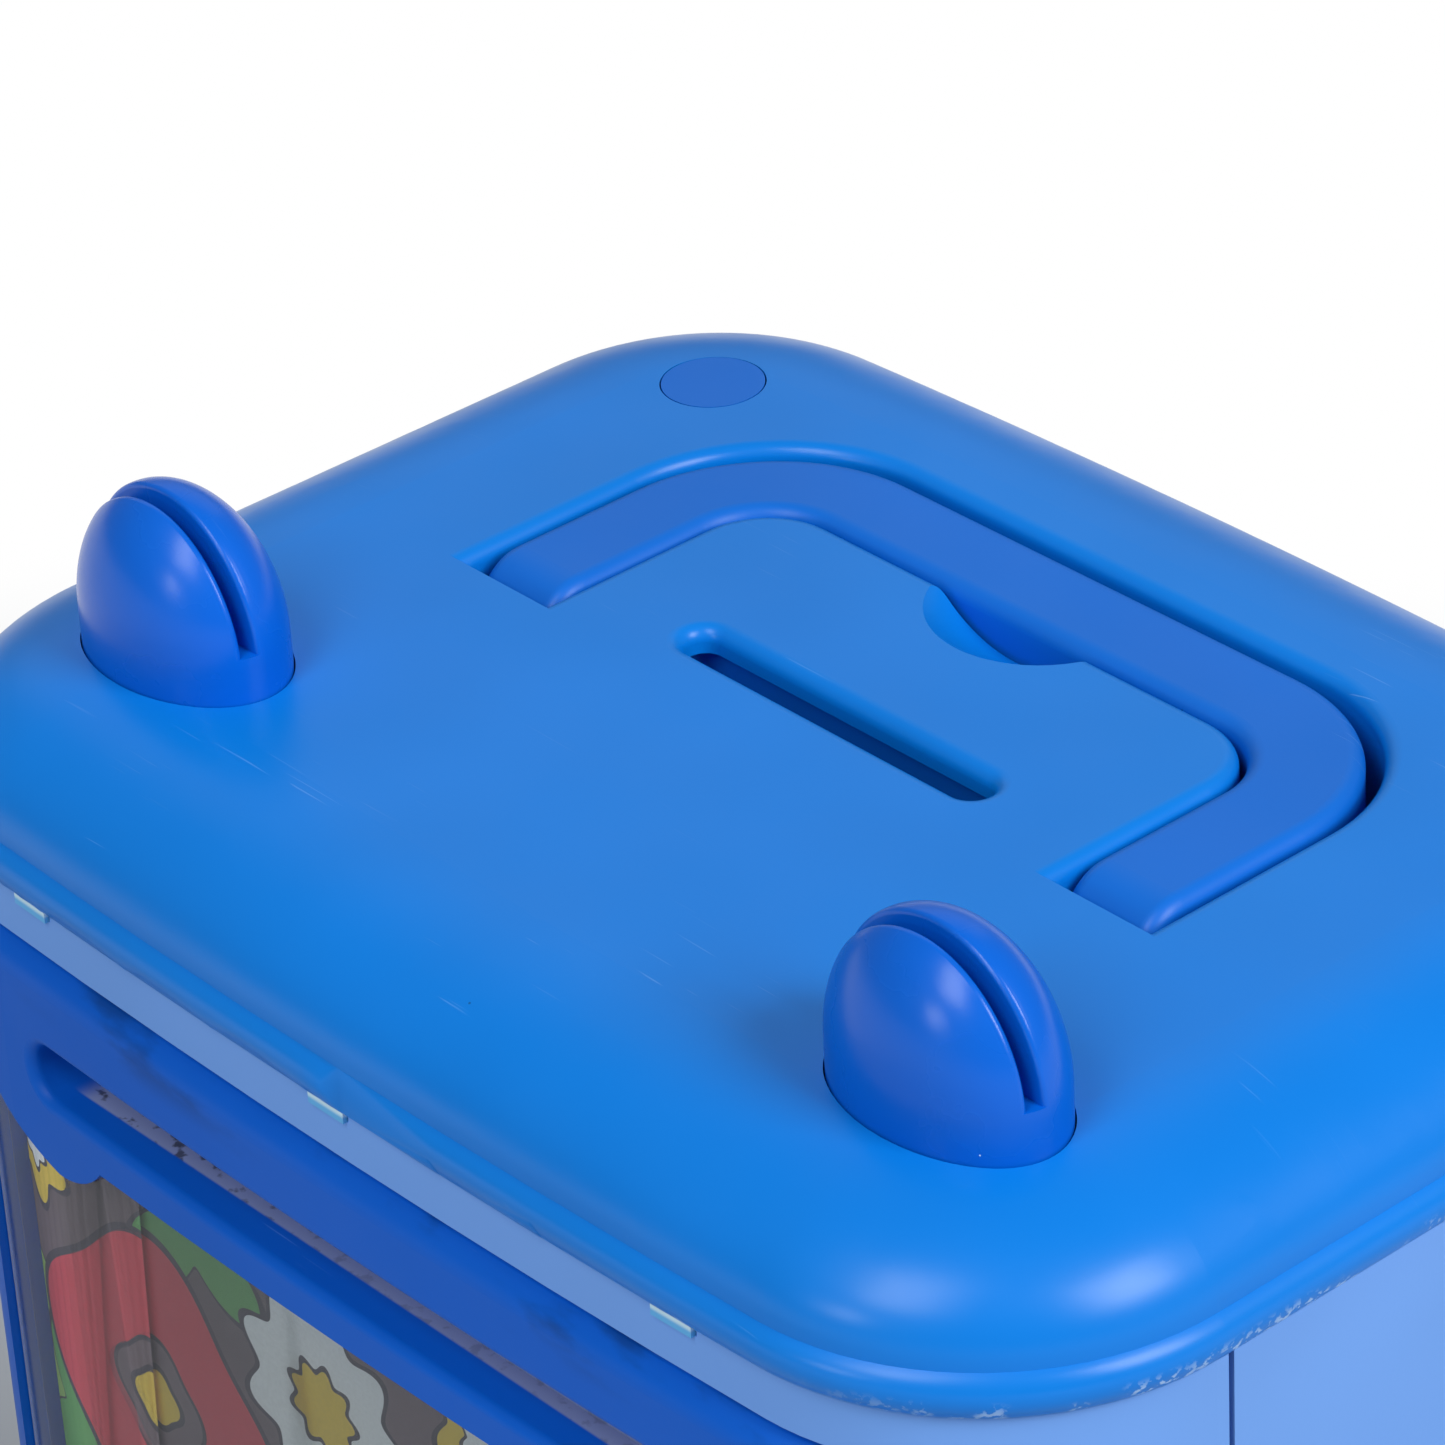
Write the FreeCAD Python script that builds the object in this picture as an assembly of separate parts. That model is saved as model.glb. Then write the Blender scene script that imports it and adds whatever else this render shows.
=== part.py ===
import FreeCAD
import Part
import math
import os
from FreeCAD import Vector

# A child's money box in millimetres. Its front faces -Y, X runs to the right seen from there, Z is up.

# Case outline, seen from above
LID_WIDTH = 150.0
LID_DEPTH = 111.6
CORNER_R = 26.5
BOW_R = 1080.0              # front and back are bowed on this radius
HEIGHT = 178.0              # floor to the lid's flat top

# Lid
LID_DEEP = 14.0             # rim to flat top
LID_WALL = 2.5
BEAD_TUCK = 0.9             # the bead's lower edge lies this far in
CREASE_IN = 1.2             # inset of the crease above the bead
CREASE_DROP = 9.9           # crease below the flat top
SHOULDER = 17.7             # rim to the start of the flat top
SKIRT = 3.7                 # thickness of the rim
EDGE_FILLET = 1.4           # rounded edges of the slot and the handle recess

# Coin slot
COIN_SLOT_LENGTH = 37.6
COIN_SLOT_WIDTH = 3.8
COIN_SLOT_Y = 0.6
CHUTE_WALL = 1.5
CHUTE_GAP = 1.6             # the chute's mouth is this much wider than the slot all round
CHUTE_DROP = 14.0

# Carry handle
HANDLE_HALF_WIDTH = 42.2
HANDLE_BAR = 9.9            # width of arms and bar, seen from above
HANDLE_THICK = 10.0
HANDLE_REAR_IN = 23.7       # handle's rear edge in from the lid's rear
HANDLE_PIVOT_Y = 0.3
HANDLE_CORNER_R = 17.7
HANDLE_EDGE = 1.5
HANDLE_PIN_R = 1.5
HANDLE_PIN_GRIP = 2.0       # length of pin held in each recess wall
RECESS_GAP = 0.9            # recess outside the handle
RECESS_REAR_GAP = 1.4
RECESS_INNER_GAP = 0.45     # island inside the handle
RECESS_FRONT_GAP = 0.6
RECESS_FLOOR_GAP = 0.8
RECESS_WALL = 2.4
SCOOP_WIDTH = 19.8
SCOOP_REACH = 7.0           # scoop in front of the island's rear edge
SCOOP_DEEP = 4.9

# Ears
EAR_SIDE_IN = 26.6          # ear's centre in from the lid's side
EAR_FRONT_IN = 24.0
EAR_HALF_LENGTH = 11.6
EAR_HALF_DEPTH = 7.6
EAR_STRAIGHT = 3.4          # upright part above the lid
EAR_DOME = 12.8
EAR_SLOT_WIDTH = 1.2
EAR_SLOT_FORWARD = 1.3      # slot centre in front of the ear's centre
EAR_SLOT_RISE = 1.0         # slot floor above the upright part
EAR_SLOT_EDGE = 0.45
EAR_GAP = 0.15
EAR_PLUG = 5.0              # depth of the plug through the lid
EAR_FLANGE = 1.8
EAR_FLANGE_THICK = 1.5

# Screw plugs and lid screws
PLUG_SIDE_IN = 23.4
PLUG_REAR_IN = 23.3
PLUG_R = 4.87
PLUG_GAP = 0.15
PLUG_THICK = 3.0
BOSS_WALL = 2.4
SCREW_R = 1.5
SCREW_HEAD_R = 3.0
SCREW_HEAD_THICK = 2.0
SCREW_HEAD_GAP = 0.3
CROSS_LONG = 3.6            # cross recess in a screw's head
CROSS_WIDE = 0.8
CROSS_DEEP = 1.1
SCREW_HOLE_GAP = 0.2
SCREW_BITE = 10.0           # length of thread held in a post
POST_WALL = 3.4
RIB = 2.0

# Case walls
CASE_IN = 1.3               # case walls inside the lid's rim
CASE_WALL = 2.5
SEAM_FRONT_IN = 29.2        # seam behind the lid's front
SEAM_GAP = 0.6
LIP_GAP = 0.25
LIP_WALL = 1.5
LIP_HIGH = 2.4
LIP_ROOT = 3.5
TAB_STEP = 42.0
TAB_SHIFT = -2.0            # middle tab beside the centre line
TAB_WIDTH = 4.6
TAB_DROP = 1.1
TAB_GAP = 0.2

# Base
FOOT_HIGH = 2.0
FOOT_R = 7.0
FOOT_SIDE_IN = 33.0
FOOT_END_IN = 17.8
FOOT_SEAT = 0.8
FOOT_GAP = 0.1
BASE_DEEP = 12.0
BASE_ROUND = 6.0
BASE_WALL = 2.5
BASE_RIM = 3.8
BASE_SCREW_SIDE_IN = 15.0
BASE_SCREW_FRONT_IN = 21.8
BASE_SCREW_REAR_IN = 17.8
BASE_BOSS_HIGH = 8.0

# Batteries
CELL_R = 7.15
CELL_LENGTH = 50.0
CELL_COUNT = 3
CELL_NUB_R = 2.7
CELL_NUB = 1.0
CELL_GAP = 0.6
CONTACT_THICK = 0.6
CONTACT_SIZE = 9.0
BATTERY_Y = 8.0
BATTERY_WALL = 2.0
BATTERY_COVER_GAP = 0.25
BATTERY_LEDGE = 2.5

# Speaker
SPEAKER_R = 18.0
SPEAKER_DEEP = 6.0
SPEAKER_MAGNET_R = 9.0
SPEAKER_MAGNET = 6.0
SPEAKER_Z = 100.0
SPEAKER_COLLAR = 1.6
SPEAKER_GAP = 0.2
GRILLE_HOLE_R = 1.2
GRILLE_STEP = 4.6
GRILLE_RINGS = 3

# Door
DOOR_PROUD = 1.2            # door face in front of the case walls
DOOR_SIDE_IN = 8.5          # door's side edge in from the lid's side
DOOR_CORNER = 10.0
DOOR_BAND = 5.2             # case showing above and below the door
DOOR_GAP = 0.5
DOOR_SKIN = 2.5
DOOR_EDGE = 3.0             # rounded front edge
DOOR_DEEP = 13.8            # door's back behind the lid's front
DOOR_RIM = 2.4
HINGE_BARREL_R = 4.0
HINGE_SIDE_GAP = 0.5
HINGE_PIN_R = 1.5
HINGE_PIN_LENGTH = 11.0
HINGE_PIN_SEAT = 4.0
RUNNING_GAP = 0.06
SEAT_GAP = 0.02
STILE = 9.0                 # door beside the window
COVER_THICK = 2.0
COVER_IN = 0.6              # cover inside the door's outline
DOOR_POST_R = 2.9
DOOR_POST_TOP_X = 30.0
DOOR_POST_LOW_SIDE = 11.5
DOOR_POST_LOW_IN = 7.5

# Banknote slot
NOTE_SLOT_SIDE = 11.7       # slot's end in from the window's side
NOTE_SLOT_HIGH = 5.8
NOTE_SLOT_EDGE = 1.0
NOTE_SLOT_DEEP = 5.2        # door's face to the guide's face
NOTE_SLOT_DROP = 31.5       # slot centre below the lid's top
NOTE_SLIT_LENGTH = 80.0
NOTE_SLIT_HIGH = 2.4
GUIDE_LAP = 4.2             # guide past each end of the slot
GUIDE_HIGH = 7.6
GUIDE_CLEAR = 0.3

# Window
WINDOW_DROP = 38.4          # bar's lower edge below the lid's top
WINDOW_BOTTOM = 78.0
WINDOW_CORNER = 7.0
LOBE_BOTTOM = 3.4           # lobe below the bar's lower edge
LOBE_SIDE = 14.4            # lobe's lowest point in from the window's side
LOBE_WIDE = 6.7             # its inner end further in
WINDOW_EAR = 8.0            # window's side corner above the bar's lower edge
LOBE_SWELL_OUT = 8.9        # a point on the lobe's outer side, out from its lowest point
LOBE_SWELL_UP = 0.8         # and above the bar's lower edge
LOBE_ROUND_IN = 5.0         # a point on the lobe's inner side, in from its lowest point
PANE_THICK = 1.5
PANE_SINK = 0.9             # the pane's raised face lies this far behind the door's face
PANE_GAP = 0.2              # clearance round the raised face
CARD_THICK = 0.5
PANE_LAP = 3.0

# Keypad
KEY_COLUMNS = 3
KEY_ROWS = 4
KEY_WIDTH = 12.0
KEY_HIGH = 8.4
KEY_STEP_X = 15.5
KEY_STEP_Z = 11.4
KEY_CENTRE_X = -14.0
KEY_CENTRE_Z = 48.0
KEY_RADIUS = 1.8
KEY_GAP = 0.3
KEY_SUNK = 0.4              # key tops behind the door's face
KEY_FLANGE = 0.9
KEY_STOP_GAP = 0.15          # flange behind the door's skin
KEY_FLANGE_THICK = 1.0
KEY_TRAVEL = 1.0
KEYPAD_SUNK = 1.2           # keypad field behind the door's face
KEYPAD_MARGIN = 3.0
MAT_THICK = 1.2
MAT_GAP = 0.1
BOARD_THICK = 1.6
LED_R = 1.5
LED_SIDE = 18.5             # lamps in from the door's side
LED_SPACING = 9.0

# Knob, latch and lock
KNOB_SIDE = 24.5            # knob in from the door's side
KNOB_Z = 48.0
KNOB_R = 13.4
DISH_GAP = 1.4
DISH_DEEP = 8.0
DISH_WALL = 2.0
KNOB_DISC = 3.0
KNOB_GRIP = 6.0
KNOB_CLEAR = 0.4
SPINDLE_R = 3.0
LATCH_HUB_R = 9.0
LATCH_WIDTH = 8.0
LATCH_THICK = 2.5
LATCH_BACK = 4.5            # latch behind the inner cover
LATCH_LAP = 2.2             # latch behind the jamb when it is turned
JAMB_THICK = 2.0
NOTCH_WIDE = 5.0
NOTCH_DEEP = 3.5
PLUNGER_R = 2.0
PLUNGER_TRAVEL = 3.0
PLUNGER_CLEAR = 0.5
PLUNGER_LENGTH = 16.0
SOLENOID_LENGTH = 22.0
SOLENOID_HIGH = 12.0
SOLENOID_DEEP = 10.0

# Banknote feed
ROLLER_R = 4.0
ROLLER_LENGTH = 70.0
ROLLER_NIP = 0.1
ROLLER_BACK = 10.0          # roller axis behind the inner cover
SHAFT_R = 1.5
BRACKET_X = 40.0
BRACKET_THICK = 2.0
BRACKET_DEEP = 15.0
GEAR_MODULE = 0.7
TOOTH_DEEP = 0.84           # tooth root inside the pitch circle
TOOTH_HIGH = 0.56           # tooth tip outside it
TOOTH_ROOT_HALF = 0.59      # half width of a tooth at its root
TOOTH_TIP_HALF = 0.22
GEAR_TEETH = 24
PINION_TEETH = 12
GEAR_WIDE = 4.0
GEAR_BACKLASH = 0.15
MOTOR_R = 7.5
MOTOR_LENGTH = 27.0
MOTOR_SHAFT_R = 1.0

# Main board
MAIN_BOARD_WIDTH = 52.0
MAIN_BOARD_HIGH = 42.0
MAIN_BOARD_X = -26.0
MAIN_BOARD_Z = 62.0
STANDOFF_R = 2.6
STANDOFF = 3.0
STANDOFF_IN = 4.0

# Heights that follow from these sizes
LID_RIM_Z = HEIGHT - LID_DEEP
BASE_TOP = FOOT_HIGH + BASE_DEEP
BASE_FLOOR = FOOT_HIGH + BASE_WALL
DOOR_TOP = LID_RIM_Z - DOOR_BAND - DOOR_GAP
DOOR_BOTTOM = BASE_TOP + DOOR_BAND + DOOR_GAP
DOOR_IN = CASE_IN - DOOR_PROUD
SKIN_IN = DOOR_IN + DOOR_SKIN
GUIDE_IN = DOOR_IN + NOTE_SLOT_DEEP
NOTE_Z = HEIGHT - NOTE_SLOT_DROP
NIP_Z = NOTE_Z + NOTE_SLOT_HIGH / 2 - NOTE_SLIT_HIGH / 2
WINDOW_TOP = HEIGHT - WINDOW_DROP
HANDLE_PIVOT_Z = HEIGHT - HANDLE_THICK / 2
RECESS_FLOOR_Z = HEIGHT - HANDLE_THICK - RECESS_FLOOR_GAP

# Places across the width and the depth
EAR_X = LID_WIDTH / 2 - EAR_SIDE_IN
EAR_Y = EAR_FRONT_IN - LID_DEPTH / 2
PLUG_X = LID_WIDTH / 2 - PLUG_SIDE_IN
PLUG_Y = LID_DEPTH / 2 - PLUG_REAR_IN
HANDLE_REAR_Y = LID_DEPTH / 2 - HANDLE_REAR_IN
SEAM_Y = SEAM_FRONT_IN - LID_DEPTH / 2
FOOT_X = LID_WIDTH / 2 - FOOT_SIDE_IN
FOOT_Y = LID_DEPTH / 2 - FOOT_END_IN
BASE_SCREW_X = LID_WIDTH / 2 - BASE_SCREW_SIDE_IN
BASE_SCREW_FRONT_Y = BASE_SCREW_FRONT_IN - LID_DEPTH / 2
BASE_SCREW_REAR_Y = LID_DEPTH / 2 - BASE_SCREW_REAR_IN
DOOR_HALF_WIDTH = LID_WIDTH / 2 - DOOR_SIDE_IN
DOOR_BACK_Y = DOOR_DEEP - LID_DEPTH / 2
COVER_BACK_Y = DOOR_BACK_Y + COVER_THICK
DOOR_POST_LOW_X = DOOR_HALF_WIDTH - DOOR_POST_LOW_SIDE
STILE_X = DOOR_HALF_WIDTH - STILE
LOBE_X = STILE_X - LOBE_SIDE
LOBE_INNER_X = LOBE_X - LOBE_WIDE
NOTE_SLOT_LENGTH = 2 * (STILE_X - NOTE_SLOT_SIDE)
GUIDE_HALF_WIDTH = NOTE_SLOT_LENGTH / 2 + GUIDE_LAP
LED_X = LED_SIDE - DOOR_HALF_WIDTH
KNOB_X = DOOR_HALF_WIDTH - KNOB_SIDE

# Corner centres and hinge axis in plan
CORNER_X = LID_WIDTH / 2 - CORNER_R
BOW_Y = BOW_R - LID_DEPTH / 2
CORNER_Y = math.sqrt((BOW_R - CORNER_R) ** 2 - CORNER_X ** 2) - BOW_Y
CORNER_TURN = math.pi / 2 - math.atan2(CORNER_X, CORNER_Y + BOW_Y)
HINGE_X = -(DOOR_HALF_WIDTH - HINGE_BARREL_R)
HINGE_REACH = CORNER_R - DOOR_IN - HINGE_BARREL_R
HINGE_Y = -CORNER_Y - math.sqrt(HINGE_REACH ** 2 - (HINGE_X + CORNER_X) ** 2)
FAR = 2 * LID_WIDTH         # longer than any cut needs


def line(a, b):
    return Part.LineSegment(a, b).toShape()


def arc(a, b, c):
    return Part.Arc(a, b, c).toShape()


def box(x0, x1, y0, y1, z0, z1):
    return Part.makeBox(x1 - x0, y1 - y0, z1 - z0, Vector(x0, y0, z0))


def rod_x(r, x0, x1, y, z):
    return Part.makeCylinder(r, x1 - x0, Vector(x0, y, z), Vector(1, 0, 0))


def rod_y(r, y0, y1, x, z):
    return Part.makeCylinder(r, y1 - y0, Vector(x, y0, z), Vector(0, 1, 0))


def rod_z(r, z0, z1, x, y):
    return Part.makeCylinder(r, z1 - z0, Vector(x, y, z0))


def prism(wire, direction):
    return Part.Face(wire).extrude(direction)


def joined(first, *others):
    return first.multiFuse(list(others)).removeSplitter()


def plan_wire(inset, z):
    """The case outline moved in by inset: straight sides, bowed front and back, tangent corners."""
    corner = CORNER_R - inset
    middle = LID_DEPTH / 2 - inset

    def at(side, end, turn):
        x = side * (CORNER_X + corner * math.cos(turn))
        y = end * (CORNER_Y + corner * math.sin(turn))
        return Vector(x, y, z)

    def corner_arc(side, end, first, last):
        return arc(at(side, end, first), at(side, end, CORNER_TURN / 2), at(side, end, last))

    return Part.Wire([
        line(at(1, -1, 0), at(1, 1, 0)),
        corner_arc(1, 1, 0, CORNER_TURN),
        arc(at(1, 1, CORNER_TURN), Vector(0, middle, z), at(-1, 1, CORNER_TURN)),
        corner_arc(-1, 1, CORNER_TURN, 0),
        line(at(-1, 1, 0), at(-1, -1, 0)),
        corner_arc(-1, -1, 0, CORNER_TURN),
        arc(at(-1, -1, CORNER_TURN), Vector(0, -middle, z), at(1, -1, CORNER_TURN)),
        corner_arc(1, -1, CORNER_TURN, 0),
    ])


def plan_prism(inset, z0, z1):
    return prism(plan_wire(inset, z0), Vector(0, 0, z1 - z0))


def plan_ring(outer, inner, z0, z1):
    return plan_prism(outer, z0, z1).cut(plan_prism(inner, z0, z1))


def front_y(inset, x):
    """Y of the front of the outline at x."""
    reach = abs(x) - CORNER_X
    if reach < (CORNER_R - inset) * math.cos(CORNER_TURN):
        return BOW_Y - math.sqrt((BOW_R - inset) ** 2 - x ** 2)
    return -CORNER_Y - math.sqrt((CORNER_R - inset) ** 2 - reach ** 2)


def section_at(inset, z):
    return Vector(LID_WIDTH / 2 - inset, -CORNER_Y, z)


def rim_sweep(edges):
    """Carries a closed section, drawn at the front end of the right side, once round the outline."""
    sweep = Part.BRepOffsetAPI.MakePipeShell(plan_wire(0, 0))
    sweep.setBiNormalMode(Vector(0, 0, 1))
    sweep.add(Part.Wire(edges), False, False)
    sweep.build()
    sweep.makeSolid()
    return sweep.shape()


def quarter_ellipse(side, top, centre):
    """Quarter ellipse from its side point to its top point."""
    long_first = (side - centre).Length >= (top - centre).Length
    first, second = (side, top) if long_first else (top, side)
    return Part.Ellipse(first, second, centre).toShape(0, math.pi / 2)


def front_outline(x0, x1, z0, z1, r, y0, y1):
    """A rounded rectangle drawn on the front, taken back from y0 to y1."""
    k = r * (1 - math.sqrt(0.5))

    def at(x, z):
        return Vector(x, y0, z)

    wire = Part.Wire([
        line(at(x0 + r, z0), at(x1 - r, z0)),
        arc(at(x1 - r, z0), at(x1 - k, z0 + k), at(x1, z0 + r)),
        line(at(x1, z0 + r), at(x1, z1 - r)),
        arc(at(x1, z1 - r), at(x1 - k, z1 - k), at(x1 - r, z1)),
        line(at(x1 - r, z1), at(x0 + r, z1)),
        arc(at(x0 + r, z1), at(x0 + k, z1 - k), at(x0, z1 - r)),
        line(at(x0, z1 - r), at(x0, z0 + r)),
        arc(at(x0, z0 + r), at(x0 + k, z0 + k), at(x0 + r, z0)),
    ])
    return prism(wire, Vector(0, y1 - y0, 0))


def door_outline(x0, x1, z0, z1, r, y0, y1):
    """As front_outline, with square corners on the left, where the hinge runs the full height."""
    return joined(front_outline(x0, x1, z0, z1, r, y0, y1), box(x0, x1 - r, y0, y1, z0, z1))


def slot_z(length, width, y, z0, z1):
    """An upright slot with round ends, long side along X."""
    half = length / 2 - width / 2
    body = box(-half, half, y - width / 2, y + width / 2, z0, z1)
    return joined(body, rod_z(width / 2, z0, z1, -half, y), rod_z(width / 2, z0, z1, half, y))


def slot_y(length, high, z, y0, y1):
    """A level slot through the front with round ends, long side along X."""
    half = length / 2 - high / 2
    body = box(-half, half, y0, y1, z - high / 2, z + high / 2)
    return joined(body, rod_y(high / 2, y0, y1, -half, z), rod_y(high / 2, y0, y1, half, z))


def ellipse_prism(rx, ry, x, y, z0, z1):
    wire = Part.Wire([Part.Ellipse(Vector(x, y, z0), rx, ry).toShape()])
    return prism(wire, Vector(0, 0, z1 - z0))


def top_edges(shape, z, keep):
    """Edges of a shape that lie at height z and whose box centre passes keep(x, y)."""
    found = []
    for edge in shape.Edges:
        bounds = edge.BoundBox
        flat = bounds.ZLength < 1e-6 and abs(bounds.ZMin - z) < 1e-6
        if flat and keep(bounds.Center.x, bounds.Center.y):
            found.append(edge)
    return found


def u_shape(outer_x, inner_x, front_y0, inner_y, rear_y, outer_r, inner_r, z0, z1):
    """A U seen from above, open to the front, with rounded outer and inner corners."""
    ko = outer_r * (1 - math.sqrt(0.5))
    ki = inner_r * (1 - math.sqrt(0.5))

    def at(x, y):
        return Vector(x, y, z0)

    wire = Part.Wire([
        line(at(-outer_x, front_y0), at(-outer_x, rear_y - outer_r)),
        arc(at(-outer_x, rear_y - outer_r), at(-outer_x + ko, rear_y - ko), at(-outer_x + outer_r, rear_y)),
        line(at(-outer_x + outer_r, rear_y), at(outer_x - outer_r, rear_y)),
        arc(at(outer_x - outer_r, rear_y), at(outer_x - ko, rear_y - ko), at(outer_x, rear_y - outer_r)),
        line(at(outer_x, rear_y - outer_r), at(outer_x, front_y0)),
        line(at(outer_x, front_y0), at(inner_x, front_y0)),
        line(at(inner_x, front_y0), at(inner_x, inner_y - inner_r)),
        arc(at(inner_x, inner_y - inner_r), at(inner_x - ki, inner_y - ki), at(inner_x - inner_r, inner_y)),
        line(at(inner_x - inner_r, inner_y), at(-inner_x + inner_r, inner_y)),
        arc(
            at(-inner_x + inner_r, inner_y), at(-inner_x + ki, inner_y - ki),
            at(-inner_x, inner_y - inner_r)),
        line(at(-inner_x, inner_y - inner_r), at(-inner_x, front_y0)),
        line(at(-inner_x, front_y0), at(-outer_x, front_y0)),
    ])
    return prism(wire, Vector(0, 0, z1 - z0))


# Recess in the lid, from the handle's own sizes and its gaps
ISLAND_X = HANDLE_HALF_WIDTH - HANDLE_BAR - RECESS_INNER_GAP
ISLAND_REAR_Y = HANDLE_REAR_Y - HANDLE_BAR - RECESS_INNER_GAP
RECESS_X = HANDLE_HALF_WIDTH + RECESS_GAP
RECESS_REAR_Y = HANDLE_REAR_Y + RECESS_REAR_GAP
RECESS_FRONT_Y = HANDLE_PIVOT_Y - HANDLE_THICK / 2 - RECESS_FRONT_GAP
INNER_R = HANDLE_CORNER_R - HANDLE_BAR


def recess(grow, z0, z1):
    """The handle's recess, grown by grow on every side."""
    return u_shape(
        RECESS_X + grow, ISLAND_X - grow, RECESS_FRONT_Y - grow, ISLAND_REAR_Y - grow, RECESS_REAR_Y + grow,
        HANDLE_CORNER_R + grow, INNER_R, z0, z1)


def lid_shell():
    top = HEIGHT
    crease = HEIGHT - CREASE_DROP
    bead_middle = (LID_RIM_Z + crease) / 2
    inner_end = SHOULDER + LID_WALL
    rim = rim_sweep([
        arc(section_at(BEAD_TUCK, LID_RIM_Z), section_at(0, bead_middle), section_at(CREASE_IN, crease)),
        quarter_ellipse(
            section_at(CREASE_IN, crease), section_at(SHOULDER, top), section_at(SHOULDER, crease)),
        line(section_at(SHOULDER, top), section_at(inner_end, top)),
        line(section_at(inner_end, top), section_at(inner_end, top - LID_WALL)),
        line(section_at(inner_end, top - LID_WALL), section_at(SHOULDER, top - LID_WALL)),
        quarter_ellipse(
            section_at(SKIRT, crease), section_at(SHOULDER, top - LID_WALL), section_at(SHOULDER, crease)),
        line(section_at(SKIRT, crease), section_at(SKIRT, LID_RIM_Z)),
        line(section_at(SKIRT, LID_RIM_Z), section_at(BEAD_TUCK, LID_RIM_Z)),
    ])
    return joined(rim, plan_prism(inner_end, top - LID_WALL, top))


def ear_hole(side, grow, z0, z1):
    return ellipse_prism(EAR_HALF_LENGTH + grow, EAR_HALF_DEPTH + grow, side * EAR_X, EAR_Y, z0, z1)


def handle_pin_span():
    return ISLAND_X - HANDLE_PIN_GRIP, RECESS_X + HANDLE_PIN_GRIP


def finger_scoop(under):
    """The hollow in front of the handle's bar, a piece of a ball, and the wall that backs it below under."""
    half = SCOOP_WIDTH / 2
    scoop_r = (half ** 2 + SCOOP_REACH ** 2) / (2 * SCOOP_REACH)
    ball_r = (scoop_r ** 2 + SCOOP_DEEP ** 2) / (2 * SCOOP_DEEP)
    front_y = ISLAND_REAR_Y - SCOOP_REACH
    centre = Vector(0, front_y + scoop_r, HEIGHT - SCOOP_DEEP + ball_r)
    hollow = box(-half, half, front_y, centre.y, RECESS_FLOOR_Z, HEIGHT)
    hollow = hollow.common(Part.makeSphere(ball_r, centre))
    wide = half + LID_WALL
    backing = box(-wide, wide, front_y - LID_WALL, ISLAND_REAR_Y, RECESS_FLOOR_Z, under)
    return hollow, backing.common(Part.makeSphere(ball_r + LID_WALL, centre))


def lid():
    under = HEIGHT - LID_WALL
    seat = HEIGHT - EAR_PLUG + EAR_FLANGE_THICK
    solid = lid_shell()
    floor = RECESS_FLOOR_Z - RECESS_WALL
    pads = [ear_hole(side, EAR_FLANGE, seat, under) for side in (-1, 1)]
    bosses = [rod_z(PLUG_R + BOSS_WALL, LID_RIM_Z, under, side * PLUG_X, PLUG_Y) for side in (-1, 1)]
    scoop, scoop_pad = finger_scoop(under)
    solid = joined(solid, recess(RECESS_WALL, floor, under), scoop_pad, *pads, *bosses)
    solid = solid.cut(recess(0, RECESS_FLOOR_Z, HEIGHT))
    solid = solid.cut(slot_z(COIN_SLOT_LENGTH, COIN_SLOT_WIDTH, COIN_SLOT_Y, floor, HEIGHT))

    def on_recess_or_slot(x, y):
        return abs(x) < RECESS_X + 1 and RECESS_FRONT_Y + 1 < y < RECESS_REAR_Y + 1

    solid = solid.makeFillet(EDGE_FILLET, top_edges(solid, HEIGHT, on_recess_or_slot))
    solid = solid.cut(scoop)
    pin_in, pin_out = handle_pin_span()
    cuts = []
    for side in (-1, 1):
        x0, x1 = sorted((side * pin_in, side * pin_out))
        cuts.append(rod_x(HANDLE_PIN_R + SEAT_GAP, x0, x1, HANDLE_PIVOT_Y, HANDLE_PIVOT_Z))
        cuts.append(ear_hole(side, EAR_GAP, seat, HEIGHT))
        cuts.append(rod_z(PLUG_R + PLUG_GAP, HEIGHT - PLUG_THICK, HEIGHT, side * PLUG_X, PLUG_Y))
        cuts.append(rod_z(SCREW_HEAD_R + SCREW_HEAD_GAP, lid_screw_seat(), HEIGHT, side * PLUG_X, PLUG_Y))
        cuts.append(rod_z(SCREW_R + SCREW_HOLE_GAP, LID_RIM_Z, HEIGHT, side * PLUG_X, PLUG_Y))
    tabs = []
    for x in tab_places():
        tabs.append(front_tab(x, TAB_WIDTH, LID_RIM_Z - TAB_DROP, BEAD_TUCK))
    return joined(solid.cut(cuts[0].multiFuse(cuts[1:])), *tabs)


def tab_places():
    return [TAB_SHIFT + step * TAB_STEP for step in (-1, 0, 1)]


def front_tab(x, width, z0, inset):
    """A small clip under the front rim, from an inset of the outline to the inner face of the lid's skirt."""
    block = box(x - width / 2, x + width / 2, -LID_DEPTH, 0, z0, LID_RIM_Z + TAB_DROP)
    return plan_ring(inset, SKIRT, z0, LID_RIM_Z + TAB_DROP).common(block)


def lid_screw_seat():
    return LID_RIM_Z + BASE_WALL


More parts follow.
